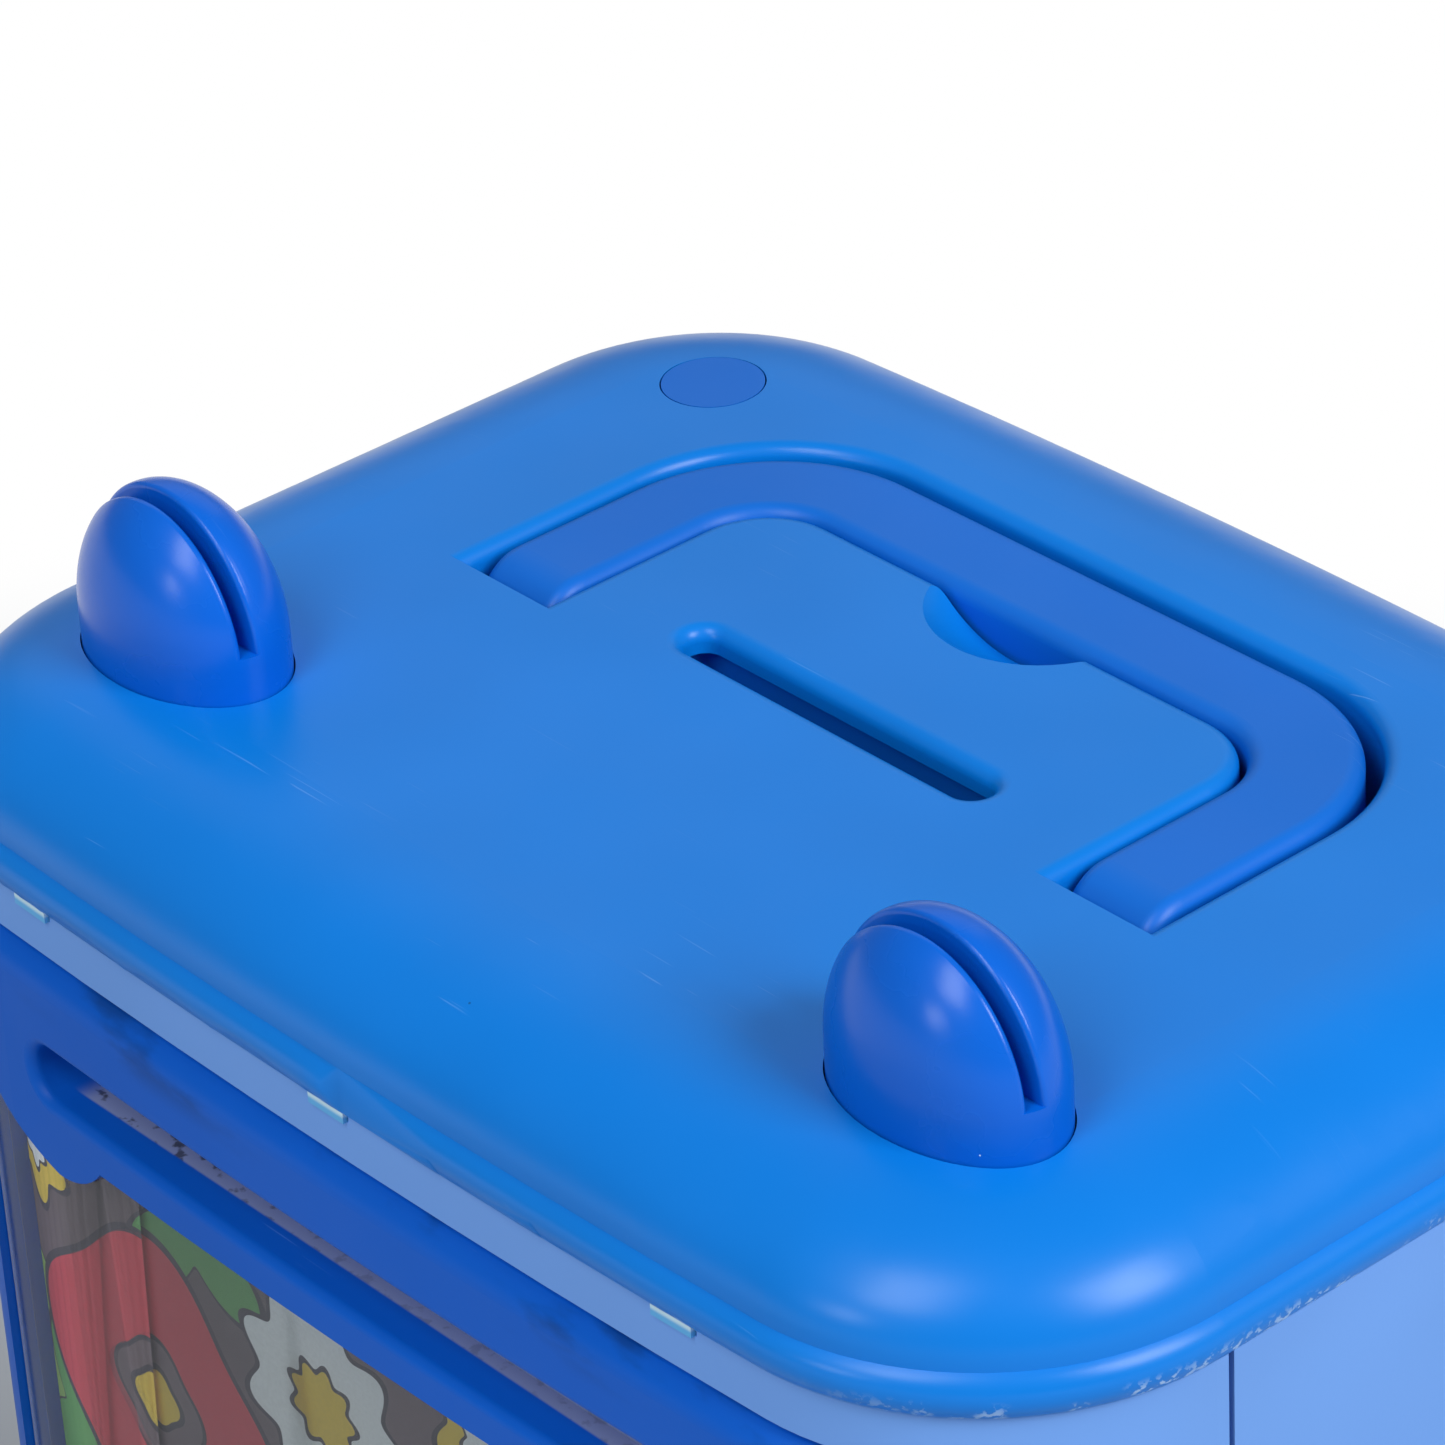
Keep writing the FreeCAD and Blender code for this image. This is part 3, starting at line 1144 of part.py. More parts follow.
def screw_back(x, z, seat, tip):
    """A screw along Y whose head rests on seat, facing the back, and whose point is at tip."""
    top = seat + SCREW_HEAD_THICK
    screw = rod_y(SCREW_HEAD_R, seat, top, x, z).fuse(rod_y(SCREW_R, tip, seat, x, z))
    arm = CROSS_LONG / 2
    half = CROSS_WIDE / 2
    cross = box(x - arm, x + arm, top - CROSS_DEEP, top, z - half, z + half)
    return screw.cut(cross.fuse(box(x - half, x + half, top - CROSS_DEEP, top, z - arm, z + arm)))


def cover_screws():
    tip = DOOR_BACK_Y - SCREW_BITE / 2
    return Part.makeCompound([screw_back(x, z, COVER_BACK_Y, tip) for x, z in door_post_places()])


def keypad_half(grow):
    half_x = (KEY_COLUMNS - 1) / 2 * KEY_STEP_X + KEY_WIDTH / 2 + grow
    half_z = (KEY_ROWS - 1) / 2 * KEY_STEP_Z + KEY_HIGH / 2 + grow
    return half_x, half_z


def key_back():
    """Inset of the keys' back faces."""
    return SKIN_IN + KEY_STOP_GAP + KEY_FLANGE_THICK


def mat_inset():
    return key_back() + KEY_TRAVEL + MAT_GAP


def keypad_board_y():
    """Front of the flat board, just behind the mat at the keypad's outer end."""
    return front_y(mat_inset() + MAT_THICK, LED_X - 2 * LED_R)


def keypad_mat():
    return keypad_rect(0, -FAR, keypad_board_y()).common(plan_prism(mat_inset(), 0, HEIGHT))


def keypad_board():
    half_x, half_z = keypad_half(STANDOFF_R)
    y0 = keypad_board_y()
    x0 = LED_X - 2 * LED_R
    return box(x0, KEY_CENTRE_X + half_x, y0, y0 + BOARD_THICK, KEY_CENTRE_Z - half_z, KEY_CENTRE_Z + half_z)


def key(x, z):
    cap = front_layer(DOOR_IN + KEY_SUNK, key_back(), key_outline(x, z, 0, -FAR, 0))
    flange = front_layer(SKIN_IN + KEY_STOP_GAP, key_back(), key_outline(x, z, KEY_FLANGE, -FAR, 0))
    return joined(cap, flange)


def led(x, z):
    return rod_y(LED_R, front_y(DOOR_IN, x - LED_R), keypad_board_y(), x, z)


def knob_back_y():
    return dish_front_y() + DISH_DEEP - KNOB_CLEAR


def door_knob():
    """A round plate in the dish with a finger bar across it."""
    back = knob_back_y()
    disc = rod_y(KNOB_R, back - KNOB_DISC, back, KNOB_X, KNOB_Z)
    half = KNOB_R - KNOB_CLEAR
    grip = front_outline(
        KNOB_X - KNOB_GRIP / 2, KNOB_X + KNOB_GRIP / 2, KNOB_Z - half, KNOB_Z + half,
        KNOB_GRIP / 2 - KNOB_CLEAR,
        dish_front_y() + KNOB_CLEAR, back - KNOB_DISC)
    grip = grip.common(rod_y(KNOB_R, -FAR, FAR, KNOB_X, KNOB_Z))
    return joined(disc, grip).cut(rod_y(SPINDLE_R + SEAT_GAP, back - KNOB_DISC, back, KNOB_X, KNOB_Z))


def latch_front_y():
    return COVER_BACK_Y + LATCH_BACK


def knob_spindle():
    return rod_y(SPINDLE_R, knob_back_y() - KNOB_DISC, latch_front_y() + LATCH_THICK, KNOB_X, KNOB_Z)


def latch_cam():
    """Hub with a tongue that points up when the door is free, and two notches for the lock's plunger."""
    y0 = latch_front_y()
    y1 = y0 + LATCH_THICK
    reach = DOOR_HALF_WIDTH + HINGE_SIDE_GAP + LATCH_LAP - KNOB_X
    hub = rod_y(LATCH_HUB_R, y0, y1, KNOB_X, KNOB_Z)
    half = LATCH_WIDTH / 2
    tongue = box(KNOB_X - half, KNOB_X + half, y0, y1, KNOB_Z, KNOB_Z + reach)
    floor = LATCH_HUB_R - NOTCH_DEEP
    wide = NOTCH_WIDE / 2
    at_rest = box(KNOB_X - LATCH_HUB_R, KNOB_X - floor, y0, y1, KNOB_Z - wide, KNOB_Z + wide)
    when_turned = box(KNOB_X - wide, KNOB_X + wide, y0, y1, KNOB_Z - LATCH_HUB_R, KNOB_Z - floor)
    solid = joined(hub, tongue).cut(at_rest).cut(when_turned)
    return solid.cut(rod_y(SPINDLE_R + SEAT_GAP, y0, y1, KNOB_X, KNOB_Z))


def plunger_tip_x():
    return KNOB_X - LATCH_HUB_R - PLUNGER_CLEAR


def plunger_y():
    return latch_front_y() + LATCH_THICK / 2


def solenoid_face_x():
    return plunger_tip_x() - PLUNGER_TRAVEL - PLUNGER_CLEAR


def solenoid_body():
    x1 = solenoid_face_x()
    half = SOLENOID_HIGH / 2
    y0 = COVER_BACK_Y
    block = box(x1 - SOLENOID_LENGTH, x1, y0, y0 + SOLENOID_DEEP, KNOB_Z - half, KNOB_Z + half)
    x0 = plunger_tip_x() - PLUNGER_LENGTH
    return block.cut(rod_x(PLUNGER_R + RUNNING_GAP, x0, x1, plunger_y(), KNOB_Z))


def solenoid_plunger():
    tip = plunger_tip_x()
    return rod_x(PLUNGER_R, tip - PLUNGER_LENGTH, tip, plunger_y(), KNOB_Z)


def roller_y():
    return COVER_BACK_Y + ROLLER_BACK


def drive_z():
    return NIP_Z - ROLLER_R - ROLLER_NIP / 2


def idler_z():
    return NIP_Z + ROLLER_R + ROLLER_NIP / 2


def pitch_r(teeth):
    return GEAR_MODULE * teeth / 2


def motor_z():
    return drive_z() - pitch_r(GEAR_TEETH) - pitch_r(PINION_TEETH) - GEAR_BACKLASH


def gear_x():
    return BRACKET_X + BRACKET_THICK + PLUNGER_CLEAR


def roller(z, right_end):
    half = ROLLER_LENGTH / 2
    left_end = -(BRACKET_X + BRACKET_THICK)
    return joined(
        rod_x(ROLLER_R, -half, half, roller_y(), z), rod_x(SHAFT_R, left_end, right_end, roller_y(), z))


def drive_roller():
    return roller(drive_z(), gear_x() + GEAR_WIDE)


def idler_roller():
    return roller(idler_z(), BRACKET_X + BRACKET_THICK)


def toothed_wheel(teeth, turn, z):
    """A spur gear with straight-sided teeth, one of them pointing along turn."""
    r = pitch_r(teeth)
    root = r - TOOTH_DEEP
    tip = r + TOOTH_HIGH

    def at(radius, angle):
        return Vector(gear_x(), roller_y() + radius * math.cos(angle), z + radius * math.sin(angle))

    points = []
    for k in range(teeth):
        middle = turn + 2 * math.pi * k / teeth
        points.append(at(root, middle - TOOTH_ROOT_HALF / root))
        points.append(at(tip, middle - TOOTH_TIP_HALF / tip))
        points.append(at(tip, middle + TOOTH_TIP_HALF / tip))
        points.append(at(root, middle + TOOTH_ROOT_HALF / root))
    points.append(points[0])
    return prism(Part.makePolygon(points), Vector(GEAR_WIDE, 0, 0))


def drive_gear():
    wheel = toothed_wheel(GEAR_TEETH, -math.pi / 2, drive_z())
    return wheel.cut(rod_x(SHAFT_R + SEAT_GAP, gear_x(), gear_x() + GEAR_WIDE, roller_y(), drive_z()))


def motor_pinion():
    """The pinion on its motor shaft, with a gap between teeth turned up to the gear."""
    wheel = toothed_wheel(PINION_TEETH, math.pi / 2 + math.pi / PINION_TEETH, motor_z())
    shaft = rod_x(MOTOR_SHAFT_R, BRACKET_X - MOTOR_LENGTH / 4, gear_x() + GEAR_WIDE, roller_y(), motor_z())
    return joined(wheel, shaft)


def feed_motor():
    x0 = BRACKET_X - MOTOR_LENGTH
    can = rod_x(MOTOR_R, x0, BRACKET_X, roller_y(), motor_z())
    bore_x = BRACKET_X - MOTOR_LENGTH / 4
    return can.cut(rod_x(MOTOR_SHAFT_R + RUNNING_GAP, bore_x, BRACKET_X, roller_y(), motor_z()))


def roller_bracket(side):
    """A side plate on the inner cover that carries the rollers; the right one also carries the motor."""
    x0, x1 = sorted((side * BRACKET_X, side * (BRACKET_X + BRACKET_THICK)))
    bottom = motor_z() - MOTOR_R if side > 0 else drive_z() - ROLLER_R
    top = idler_z() + ROLLER_R
    plate = box(x0, x1, COVER_BACK_Y, COVER_BACK_Y + BRACKET_DEEP, bottom, top)
    bores = [rod_x(SHAFT_R + RUNNING_GAP, x0, x1, roller_y(), z) for z in (drive_z(), idler_z())]
    bores.append(rod_x(MOTOR_SHAFT_R + KNOB_CLEAR, x0, x1, roller_y(), motor_z()))
    return plate.cut(bores[0].multiFuse(bores[1:]))


def main_board_holes():
    half_x = MAIN_BOARD_WIDTH / 2 - STANDOFF_IN
    half_z = MAIN_BOARD_HIGH / 2 - STANDOFF_IN
    return [(MAIN_BOARD_X + i * half_x, MAIN_BOARD_Z + j * half_z) for i in (-1, 1) for j in (-1, 1)]


def main_board():
    half_x = MAIN_BOARD_WIDTH / 2
    half_z = MAIN_BOARD_HIGH / 2
    y0 = COVER_BACK_Y + STANDOFF
    board = box(
        MAIN_BOARD_X - half_x, MAIN_BOARD_X + half_x, y0, y0 + BOARD_THICK,
        MAIN_BOARD_Z - half_z, MAIN_BOARD_Z + half_z)
    holes = [rod_y(SCREW_R + SCREW_HOLE_GAP, y0, y0 + BOARD_THICK, x, z) for x, z in main_board_holes()]
    return board.cut(holes[0].multiFuse(holes[1:]))


def board_screws():
    seat = COVER_BACK_Y + STANDOFF + BOARD_THICK
    return Part.makeCompound([screw_back(x, z, seat, COVER_BACK_Y + SEAT_GAP) for x, z in main_board_holes()])


KEY_NAMES = ("1", "2", "3", "4", "5", "6", "7", "8", "9", "clear", "0", "enter")


def pieces():
    """Every node's name and solid."""
    lower_pin, upper_pin = hinge_pin_bottoms()
    green, red = led_places()
    nodes = {
        "lid": lid(),
        "ear_left": ear(-1),
        "ear_right": ear(1),
        "carry_handle": carry_handle(),
        "handle_pin_left": handle_pin(-1),
        "handle_pin_right": handle_pin(1),
        "screw_plug_left": screw_plug(-1),
        "screw_plug_right": screw_plug(1),
        "lid_screws": lid_screws(),
        "coin_chute": coin_chute(),
        "front_frame": front_frame(),
        "rear_shell": rear_shell(),
        "speaker": speaker(),
        "base_plate": base_plate(),
        "base_screws": base_screws(),
        "rubber_feet": rubber_feet(),
        "battery_box": battery_box(),
        "battery_cells": battery_cells(),
        "battery_contacts": battery_contacts(),
        "battery_cover": battery_cover(),
        "battery_cover_screw": battery_cover_screw(),
        "front_door": front_door(),
        "hinge_pin_lower": hinge_pin(lower_pin),
        "hinge_pin_upper": hinge_pin(upper_pin),
        "window_pane": window_pane(),
        "picture_card": picture_card(),
        "note_guide": note_guide(),
        "door_inner_cover": door_inner_cover(),
        "cover_screws": cover_screws(),
        "keypad_mat": keypad_mat(),
        "keypad_board": keypad_board(),
        "led_green": led(*green),
        "led_red": led(*red),
        "door_knob": door_knob(),
        "knob_spindle": knob_spindle(),
        "latch_cam": latch_cam(),
        "solenoid_body": solenoid_body(),
        "solenoid_plunger": solenoid_plunger(),
        "drive_roller": drive_roller(),
        "idler_roller": idler_roller(),
        "drive_gear": drive_gear(),
        "motor_pinion": motor_pinion(),
        "feed_motor": feed_motor(),
        "roller_bracket_left": roller_bracket(-1),
        "roller_bracket_right": roller_bracket(1),
        "main_board": main_board(),
        "board_screws": board_screws(),
    }
    for name, (column, row, x, z) in zip(KEY_NAMES, key_places()):
        nodes["key_" + name] = key(x, z)
    return nodes


os.makedirs("parts", exist_ok=True)
for node, shape in pieces().items():
    print(node, shape.ShapeType, len(shape.Solids), shape.isValid(), round(shape.Volume, 1))
    shape.exportStep("parts/" + node + ".step")
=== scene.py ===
# %% [markdown]
# A child's money box, moulded in blue ABS, with two ears, a folding handle and a door with a window.
# Its solids come packed and in place, so this lesson only gives them their finishes, prints and light.
# Everything is in metres in the frame of the solids, and nothing here moves or resizes them.

# %% Load the solids
import math

import bpy
import numpy as np
from mathutils import Matrix, Vector


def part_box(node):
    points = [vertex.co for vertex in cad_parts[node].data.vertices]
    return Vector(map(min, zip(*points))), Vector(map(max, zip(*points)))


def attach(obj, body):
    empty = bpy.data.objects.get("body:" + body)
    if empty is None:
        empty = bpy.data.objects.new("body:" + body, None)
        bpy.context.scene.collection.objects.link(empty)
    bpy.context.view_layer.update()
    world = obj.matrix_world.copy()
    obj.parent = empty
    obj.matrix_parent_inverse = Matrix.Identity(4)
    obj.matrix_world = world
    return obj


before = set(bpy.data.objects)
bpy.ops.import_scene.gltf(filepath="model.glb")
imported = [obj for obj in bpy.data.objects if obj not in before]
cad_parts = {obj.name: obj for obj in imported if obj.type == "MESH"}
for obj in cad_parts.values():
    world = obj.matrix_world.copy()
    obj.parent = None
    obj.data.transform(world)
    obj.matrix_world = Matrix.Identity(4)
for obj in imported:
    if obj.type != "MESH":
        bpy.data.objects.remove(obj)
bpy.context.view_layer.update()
scene = bpy.context.scene
MM = 0.001

# %% [markdown]
# The camera could be set by eye, but the lid's round plug and its straight edges fix it: an ellipse and two
# vanishing directions give one angle, one distance and one focal length. These are those values.

# %% Camera at the photograph's angle
AZIMUTH = math.radians(50.018)
ELEVATION = math.radians(31.278)
ROLL = math.radians(-3.223)
AIM = Vector((-5.353, -7.458, 178.0)) * MM
DISTANCE = 542.99 * MM
FOCAL_PIXELS = 6389.1
FRAME_PIXELS = 1445
SENSOR = 36.0


def direction(azimuth, elevation):
    """Unit vector away from the object: azimuth 0 is the front, -Y, and it turns towards +X."""
    flat = math.cos(elevation)
    return Vector((math.sin(azimuth) * flat, -math.cos(azimuth) * flat, math.sin(elevation)))


backward = direction(AZIMUTH, ELEVATION)
level = (-backward).cross(Vector((0, 0, 1))).normalized()
upright = level.cross(-backward)
right = math.cos(ROLL) * level + math.sin(ROLL) * upright
up = math.cos(ROLL) * upright - math.sin(ROLL) * level

camera = bpy.data.objects.new("camera", bpy.data.cameras.new("camera"))
camera.data.sensor_fit = "HORIZONTAL"
camera.data.sensor_width = SENSOR
camera.data.lens = SENSOR * FOCAL_PIXELS / FRAME_PIXELS
turned = Matrix((right, up, backward)).transposed().to_4x4()
camera.matrix_world = Matrix.Translation(AIM + backward * DISTANCE) @ turned
scene.collection.objects.link(camera)
scene.camera = camera
print("lens", round(camera.data.lens, 1), "mm")

# %% [markdown]
# Every finish is a small tree of nodes. A few helpers keep it readable: one turns a hex colour, as sRGB
# writes it, into the linear light that a shader adds up, one sets a node's sockets, and one adds a
# node. Round things are painted by their distance from an axis, so one helper measures that.

# %% Helpers for finishes
SMOOTH = {"interpolation_type": "SMOOTHSTEP"}
COLOURS = {"data_type": "RGBA", "out": 2}
PRODUCT = {"operation": "MULTIPLY"}
LESS = {"operation": "LESS_THAN"}
MOST_NOISE = {1: 0.3, 2: 0.7}  # the range that holds most values of a noise


def linear(colour, share=1.0):
    """An sRGB hex value as linear RGBA: the straight part below 0.04045, the 2.4 power above it."""
    channels = [int(colour[i:i + 2], 16) / 255 for i in (1, 3, 5)]
    return [share * (c / 12.92 if c <= 0.04045 else ((c + 0.055) / 1.055) ** 2.4) for c in channels] + [1.0]


def feed(node, inputs):
    """Set a node's sockets, by name or number: an output is linked, anything else is a constant."""
    for key, value in inputs.items():
        if isinstance(value, bpy.types.NodeSocket):
            node.id_data.links.new(value, node.inputs[key])
        else:
            node.inputs[key].default_value = value


def add(tree, kind, inputs=None, out=0, **settings):
    """Add a node with its properties and sockets, and return one of its outputs."""
    node = tree.nodes.new("ShaderNode" + kind)
    for name, value in settings.items():
        setattr(node, name, value)
    feed(node, inputs or {})
    return node.outputs[out]


def new_finish(name):
    """A new material: its tree, the spot in metres that patterns read, and its Principled shader."""
    material = bpy.data.materials.new(name)
    material.use_nodes = True
    tree = material.node_tree
    spot = add(tree, "TexCoord", out="Object")
    return material, tree, spot, tree.nodes["Principled BSDF"]


def per_metre(size_mm):
    """Texture scale for a pattern whose features are size_mm wide."""
    return 1.0 / (size_mm * MM)


def centre(node):
    """The middle of a solid's box."""
    low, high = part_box(node)
    return (Vector(low) + Vector(high)) / 2


def off_axis(tree, spot, x, z):
    """The flat vector to a spot from the axis along Y at x and z: their difference, with Y left out."""
    off = add(tree, "VectorMath", {0: spot, 1: (x, 0, z)}, operation="SUBTRACT")
    return add(tree, "VectorMath", {0: off, 1: (1, 0, 1)}, **PRODUCT)


def dress(material, *nodes):
    """Give solids a finish by putting it in their material slots."""
    for name in nodes:
        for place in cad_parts[name].material_slots:
            place.material = material


print("blue of the lid, linear:", [round(c, 3) for c in linear("#047CDD")])

# %% [markdown]
# The box stands on a pale studio floor. Round the box, and in front where the door and the bead mirror it,
# the floor is plain paint and keeps the shadow. Further off it fades to paper white for the camera, and for
# glossy and clear surfaces, and gives no light.

# %% Floor
FLOOR_HALF = 40.0
PAINT_MIDDLE = (0.10, -0.20, 0.0)
PAINT_REACH = 0.40
WHITE_FROM = 0.56

floor_mesh = bpy.data.meshes.new("floor")
ground = FLOOR_HALF * np.array([(-1, -1, 0), (1, -1, 0), (1, 1, 0), (-1, 1, 0)])
floor_mesh.from_pydata(ground.tolist(), [], [(0, 1, 2, 3)])
floor = bpy.data.objects.new("floor", floor_mesh)
scene.collection.objects.link(floor)

floor_paint, tree, spot, shader = new_finish("matt_pale_floor_paint")
feed(shader, {"Base Color": linear("#BCC2C9"), "Roughness": 0.9})
away = add(tree, "VectorMath", {0: spot, 1: PAINT_MIDDLE}, out="Value", operation="DISTANCE")
rays = add(tree, "LightPath").node.outputs
seen = add(tree, "Math", {0: rays["Is Camera Ray"], 1: rays["Is Glossy Ray"]}, operation="MAXIMUM")
seen = add(tree, "Math", {0: seen, 1: rays["Is Transmission Ray"]}, operation="MAXIMUM")
far = add(tree, "MapRange", {0: away, 1: PAINT_REACH, 2: WHITE_FROM}, **SMOOTH)
white = add(tree, "Emission", {"Color": (1, 1, 1, 1), "Strength": 1.0})
paper = add(tree, "Math", {0: seen, 1: far}, **PRODUCT)
both = add(tree, "MixShader", {0: paper, 1: shader.outputs[0], 2: white})
feed(tree.nodes["Material Output"], {"Surface": both})
floor_mesh.materials.append(floor_paint)
print("floor is paint within", PAINT_REACH, "m")

# %% [markdown]
# Two softboxes make the two soft bright patches on the lid's front right corner: mirroring the camera's ray
# there shows one high in front and one lower on the right. A small low one gives the ears their glint. A
# wide, weak one behind on the left stands for the white backdrop that the flat top mirrors, and a dim white
# world fills the shadows.

# %% Light
WORLD_LEVEL = 0.2
LAMP_AWAY = 1.2
BACKDROP_AWAY = 1.6


def softbox(name, azimuth, elevation, distance, width, height, watts):
    """A rectangular area lamp that looks at the lid from an azimuth and an elevation in degrees."""
    lamp = bpy.data.lights.new(name, "AREA")
    lamp.shape = "RECTANGLE"
    lamp.size = width
    lamp.size_y = height
    lamp.energy = watts
    holder = bpy.data.objects.new(name, lamp)
    towards = direction(math.radians(azimuth), math.radians(elevation))
    holder.location = AIM + towards * distance
    holder.rotation_euler = towards.to_track_quat("Z", "Y").to_euler()
    scene.collection.objects.link(holder)


softbox("front_softbox", 13, 49, LAMP_AWAY, width=0.42, height=0.64, watts=6.4)
softbox("low_front_softbox", 0, 17, LAMP_AWAY, width=0.20, height=0.18, watts=1.2)
softbox("right_softbox", 100, 36, LAMP_AWAY, width=0.50, height=0.56, watts=11.5)
softbox("backdrop_glow", -130, 34, BACKDROP_AWAY, width=1.8, height=1.0, watts=2.2)
scene.world = bpy.data.worlds.new("soft_white_room")
scene.world.use_nodes = True
feed(scene.world.node_tree.nodes["Background"], {"Color": (1, 1, 1, 1), "Strength": WORLD_LEVEL})
scene.view_settings.view_transform = "Standard"
print("four softboxes, world at", WORLD_LEVEL)

# %% [markdown]
# ABS comes out of a polished steel mould with a satin skin. The eye reads it by four things: a broad, soft
# gloss, a colour that drifts a little over some centimetres, a skin grain finer than a millimetre, and
# small marks of use, which are dark specks and pale hairlines. One function gives all four, at sizes in mm.

# %% Moulded ABS
ABS_IOR = 1.53
TONE_DRIFT = 45.0
TONE_DARK = 0.9
SHEEN_PATCH = 12.0
SHEEN_VARY = 0.03
SKIN_GRAIN = 0.35
GRAIN_DEEP = 0.02 * MM
SPECK_SPACING = 11.0
SPECK_SIZE = 0.16
SPECK_SHARE = 0.38
SPECK_DARK = 0.55
HAIRLINE_LONG = 9.0
HAIRLINE_WIDE = 0.22
HAIRLINE_PATCH = 25.0
HAIRLINE_TURN = math.radians(32)
HAIRLINE_PALE = 0.35


def specks(tree, spot, colour):
    """Dark dust specks: a dot at the middle of about a third of the cells of a Voronoi pattern."""
    cells = add(tree, "TexVoronoi", {"Vector": spot, "Scale": per_metre(SPECK_SPACING)}).node.outputs
    chance = add(tree, "SeparateColor", {0: cells["Color"]})
    largest = SPECK_SIZE / SPECK_SPACING
    size = add(tree, "MapRange", {0: chance, 1: 1 - SPECK_SHARE, 2: 1.0, 4: largest}, **SMOOTH)
    dot = add(tree, "Math", {0: cells["Distance"], 1: size}, **LESS)
    faint = add(tree, "Math", {0: dot, 1: SPECK_DARK}, **PRODUCT)
    return add(tree, "Mix", {0: faint, 6: colour, 7: linear("#0A2A55")}, **COLOURS)


def hairlines(tree, spot, colour):
    """Pale scratches: noise stretched into streaks along one direction, cut off near its top, in patches.
    The finest ones wouldn't show, so these are drawn as wide as they need to be seen."""
    slim = (per_metre(HAIRLINE_LONG), per_metre(HAIRLINE_WIDE), per_metre(HAIRLINE_LONG))
    along = add(tree, "Mapping", {"Vector": spot, "Rotation": (0, 0, HAIRLINE_TURN), "Scale": slim})
    streak = add(tree, "TexNoise", {"Vector": along, "Scale": 1.0, "Detail": 0.0})
    worn = add(tree, "TexNoise", {"Vector": spot, "Scale": per_metre(HAIRLINE_PATCH)})
    line = add(tree, "MapRange", {0: streak, 1: 0.77, 2: 0.82, 4: HAIRLINE_PALE}, **SMOOTH)
    patch = add(tree, "MapRange", {0: worn, 1: 0.55, 2: 0.7}, **SMOOTH)
    mask = add(tree, "Math", {0: line, 1: patch}, **PRODUCT)
    return add(tree, "Mix", {0: mask, 6: colour, 7: linear("#7FB2EE")}, **COLOURS)


def moulded_abs(name, colour, roughness=0.36, gloss=0.27, grain=0.15, coats=(specks, hairlines)):
    """Satin ABS of one colour, with coats: functions that lay marks over the colour in turn."""
    material, tree, spot, shader = new_finish(name)
    drift = add(tree, "TexNoise", {"Vector": spot, "Scale": per_metre(TONE_DRIFT)})
    drift = add(tree, "MapRange", {0: drift, **MOST_NOISE}, **SMOOTH)
    tint = add(tree, "Mix", {0: drift, 6: linear(colour, TONE_DARK), 7: linear(colour)}, **COLOURS)
    for coat in coats:
        tint = coat(tree, spot, tint)
    sheen = add(tree, "TexNoise", {"Vector": spot, "Scale": per_metre(SHEEN_PATCH), "Detail": 4.0})
    sheen = add(tree, "MapRange", {0: sheen, **MOST_NOISE, 3: roughness - SHEEN_VARY,
                                   4: roughness + SHEEN_VARY}, **SMOOTH)
    skin = add(tree, "TexNoise", {"Vector": spot, "Scale": per_metre(SKIN_GRAIN)})
    skin = add(tree, "Bump", {"Strength": grain, "Distance": GRAIN_DEEP, "Height": skin})
    feed(shader, {"Base Color": tint, "Roughness": sheen, "Normal": skin, "IOR": ABS_IOR,
                  "Specular IOR Level": gloss})
    return material


print("moulded ABS: grain", SKIN_GRAIN, "mm, specks about every", SPECK_SPACING, "mm")

# %% [markdown]
# The lid is knocked and rubbed most along its lower bead, on the right, where the blue has turned white in
# chips. Its three small clips under the rim carry a painted highlight: pale paint, palest at their root,
# stands in for light glinting on them. Both marks lie at a height, so a mask on Z finds them. White lint
# sits where the ears meet the lid.

# %% Lid, ears, handle and plugs
RIM_BELOW_TOP = 14.0 * MM
LID_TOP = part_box("lid")[1].z
RIM_Z = LID_TOP - RIM_BELOW_TOP
CHIP_BAND = 2.3 * MM
CHIP_FROM_X = 52.0 * MM
CHIP_FADE = 20.0 * MM
CHIP_PALE = 0.8
CHIP_SIZE = 0.7
CHIP_CLUSTER = 6.0
# These place a painted highlight on the lid's clips, by height under the rim.
CLIP_EDGE = 0.05 * MM
CLIP_FULL = 0.1 * MM
CLIP_ROOT = 0.2 * MM
CLIP_TIP = 0.7 * MM
CLIP_GLINT = 0.95
LINT_SPACING = 2.6
LINT_SIZE = 0.17
LINT_SHARE = 0.34
LINT_FULL = 0.8 * MM
LINT_TOP = 2.2 * MM


def rim_chips(tree, spot, colour):
    """White chips where fine noise is high, in a band above the rim and towards the right side."""
    axes = add(tree, "SeparateXYZ", {0: spot}).node.outputs
    band = add(tree, "MapRange", {0: axes["Z"], 1: RIM_Z + CHIP_BAND, 2: RIM_Z + 0.3 * CHIP_BAND}, **SMOOTH)
    side = add(tree, "MapRange", {0: axes["X"], 1: CHIP_FROM_X, 2: CHIP_FROM_X + CHIP_FADE, 4: CHIP_PALE},
               **SMOOTH)
    fine = add(tree, "TexNoise", {"Vector": spot, "Scale": per_metre(CHIP_SIZE), "Detail": 3.0})
    broad = add(tree, "TexNoise", {"Vector": spot, "Scale": per_metre(CHIP_CLUSTER)})
    flakes = add(tree, "MapRange", {0: fine, 1: 0.50, 2: 0.58}, **SMOOTH)
    some = add(tree, "MapRange", {0: broad, 1: 0.44, 2: 0.54}, **SMOOTH)
    place = add(tree, "Math", {0: band, 1: side}, **PRODUCT)
    chips = add(tree, "Math", {0: flakes, 1: some}, **PRODUCT)
    mask = add(tree, "Math", {0: place, 1: chips}, **PRODUCT)
    return add(tree, "Mix", {0: mask, 6: colour, 7: linear("#B6D6F8")}, **COLOURS)


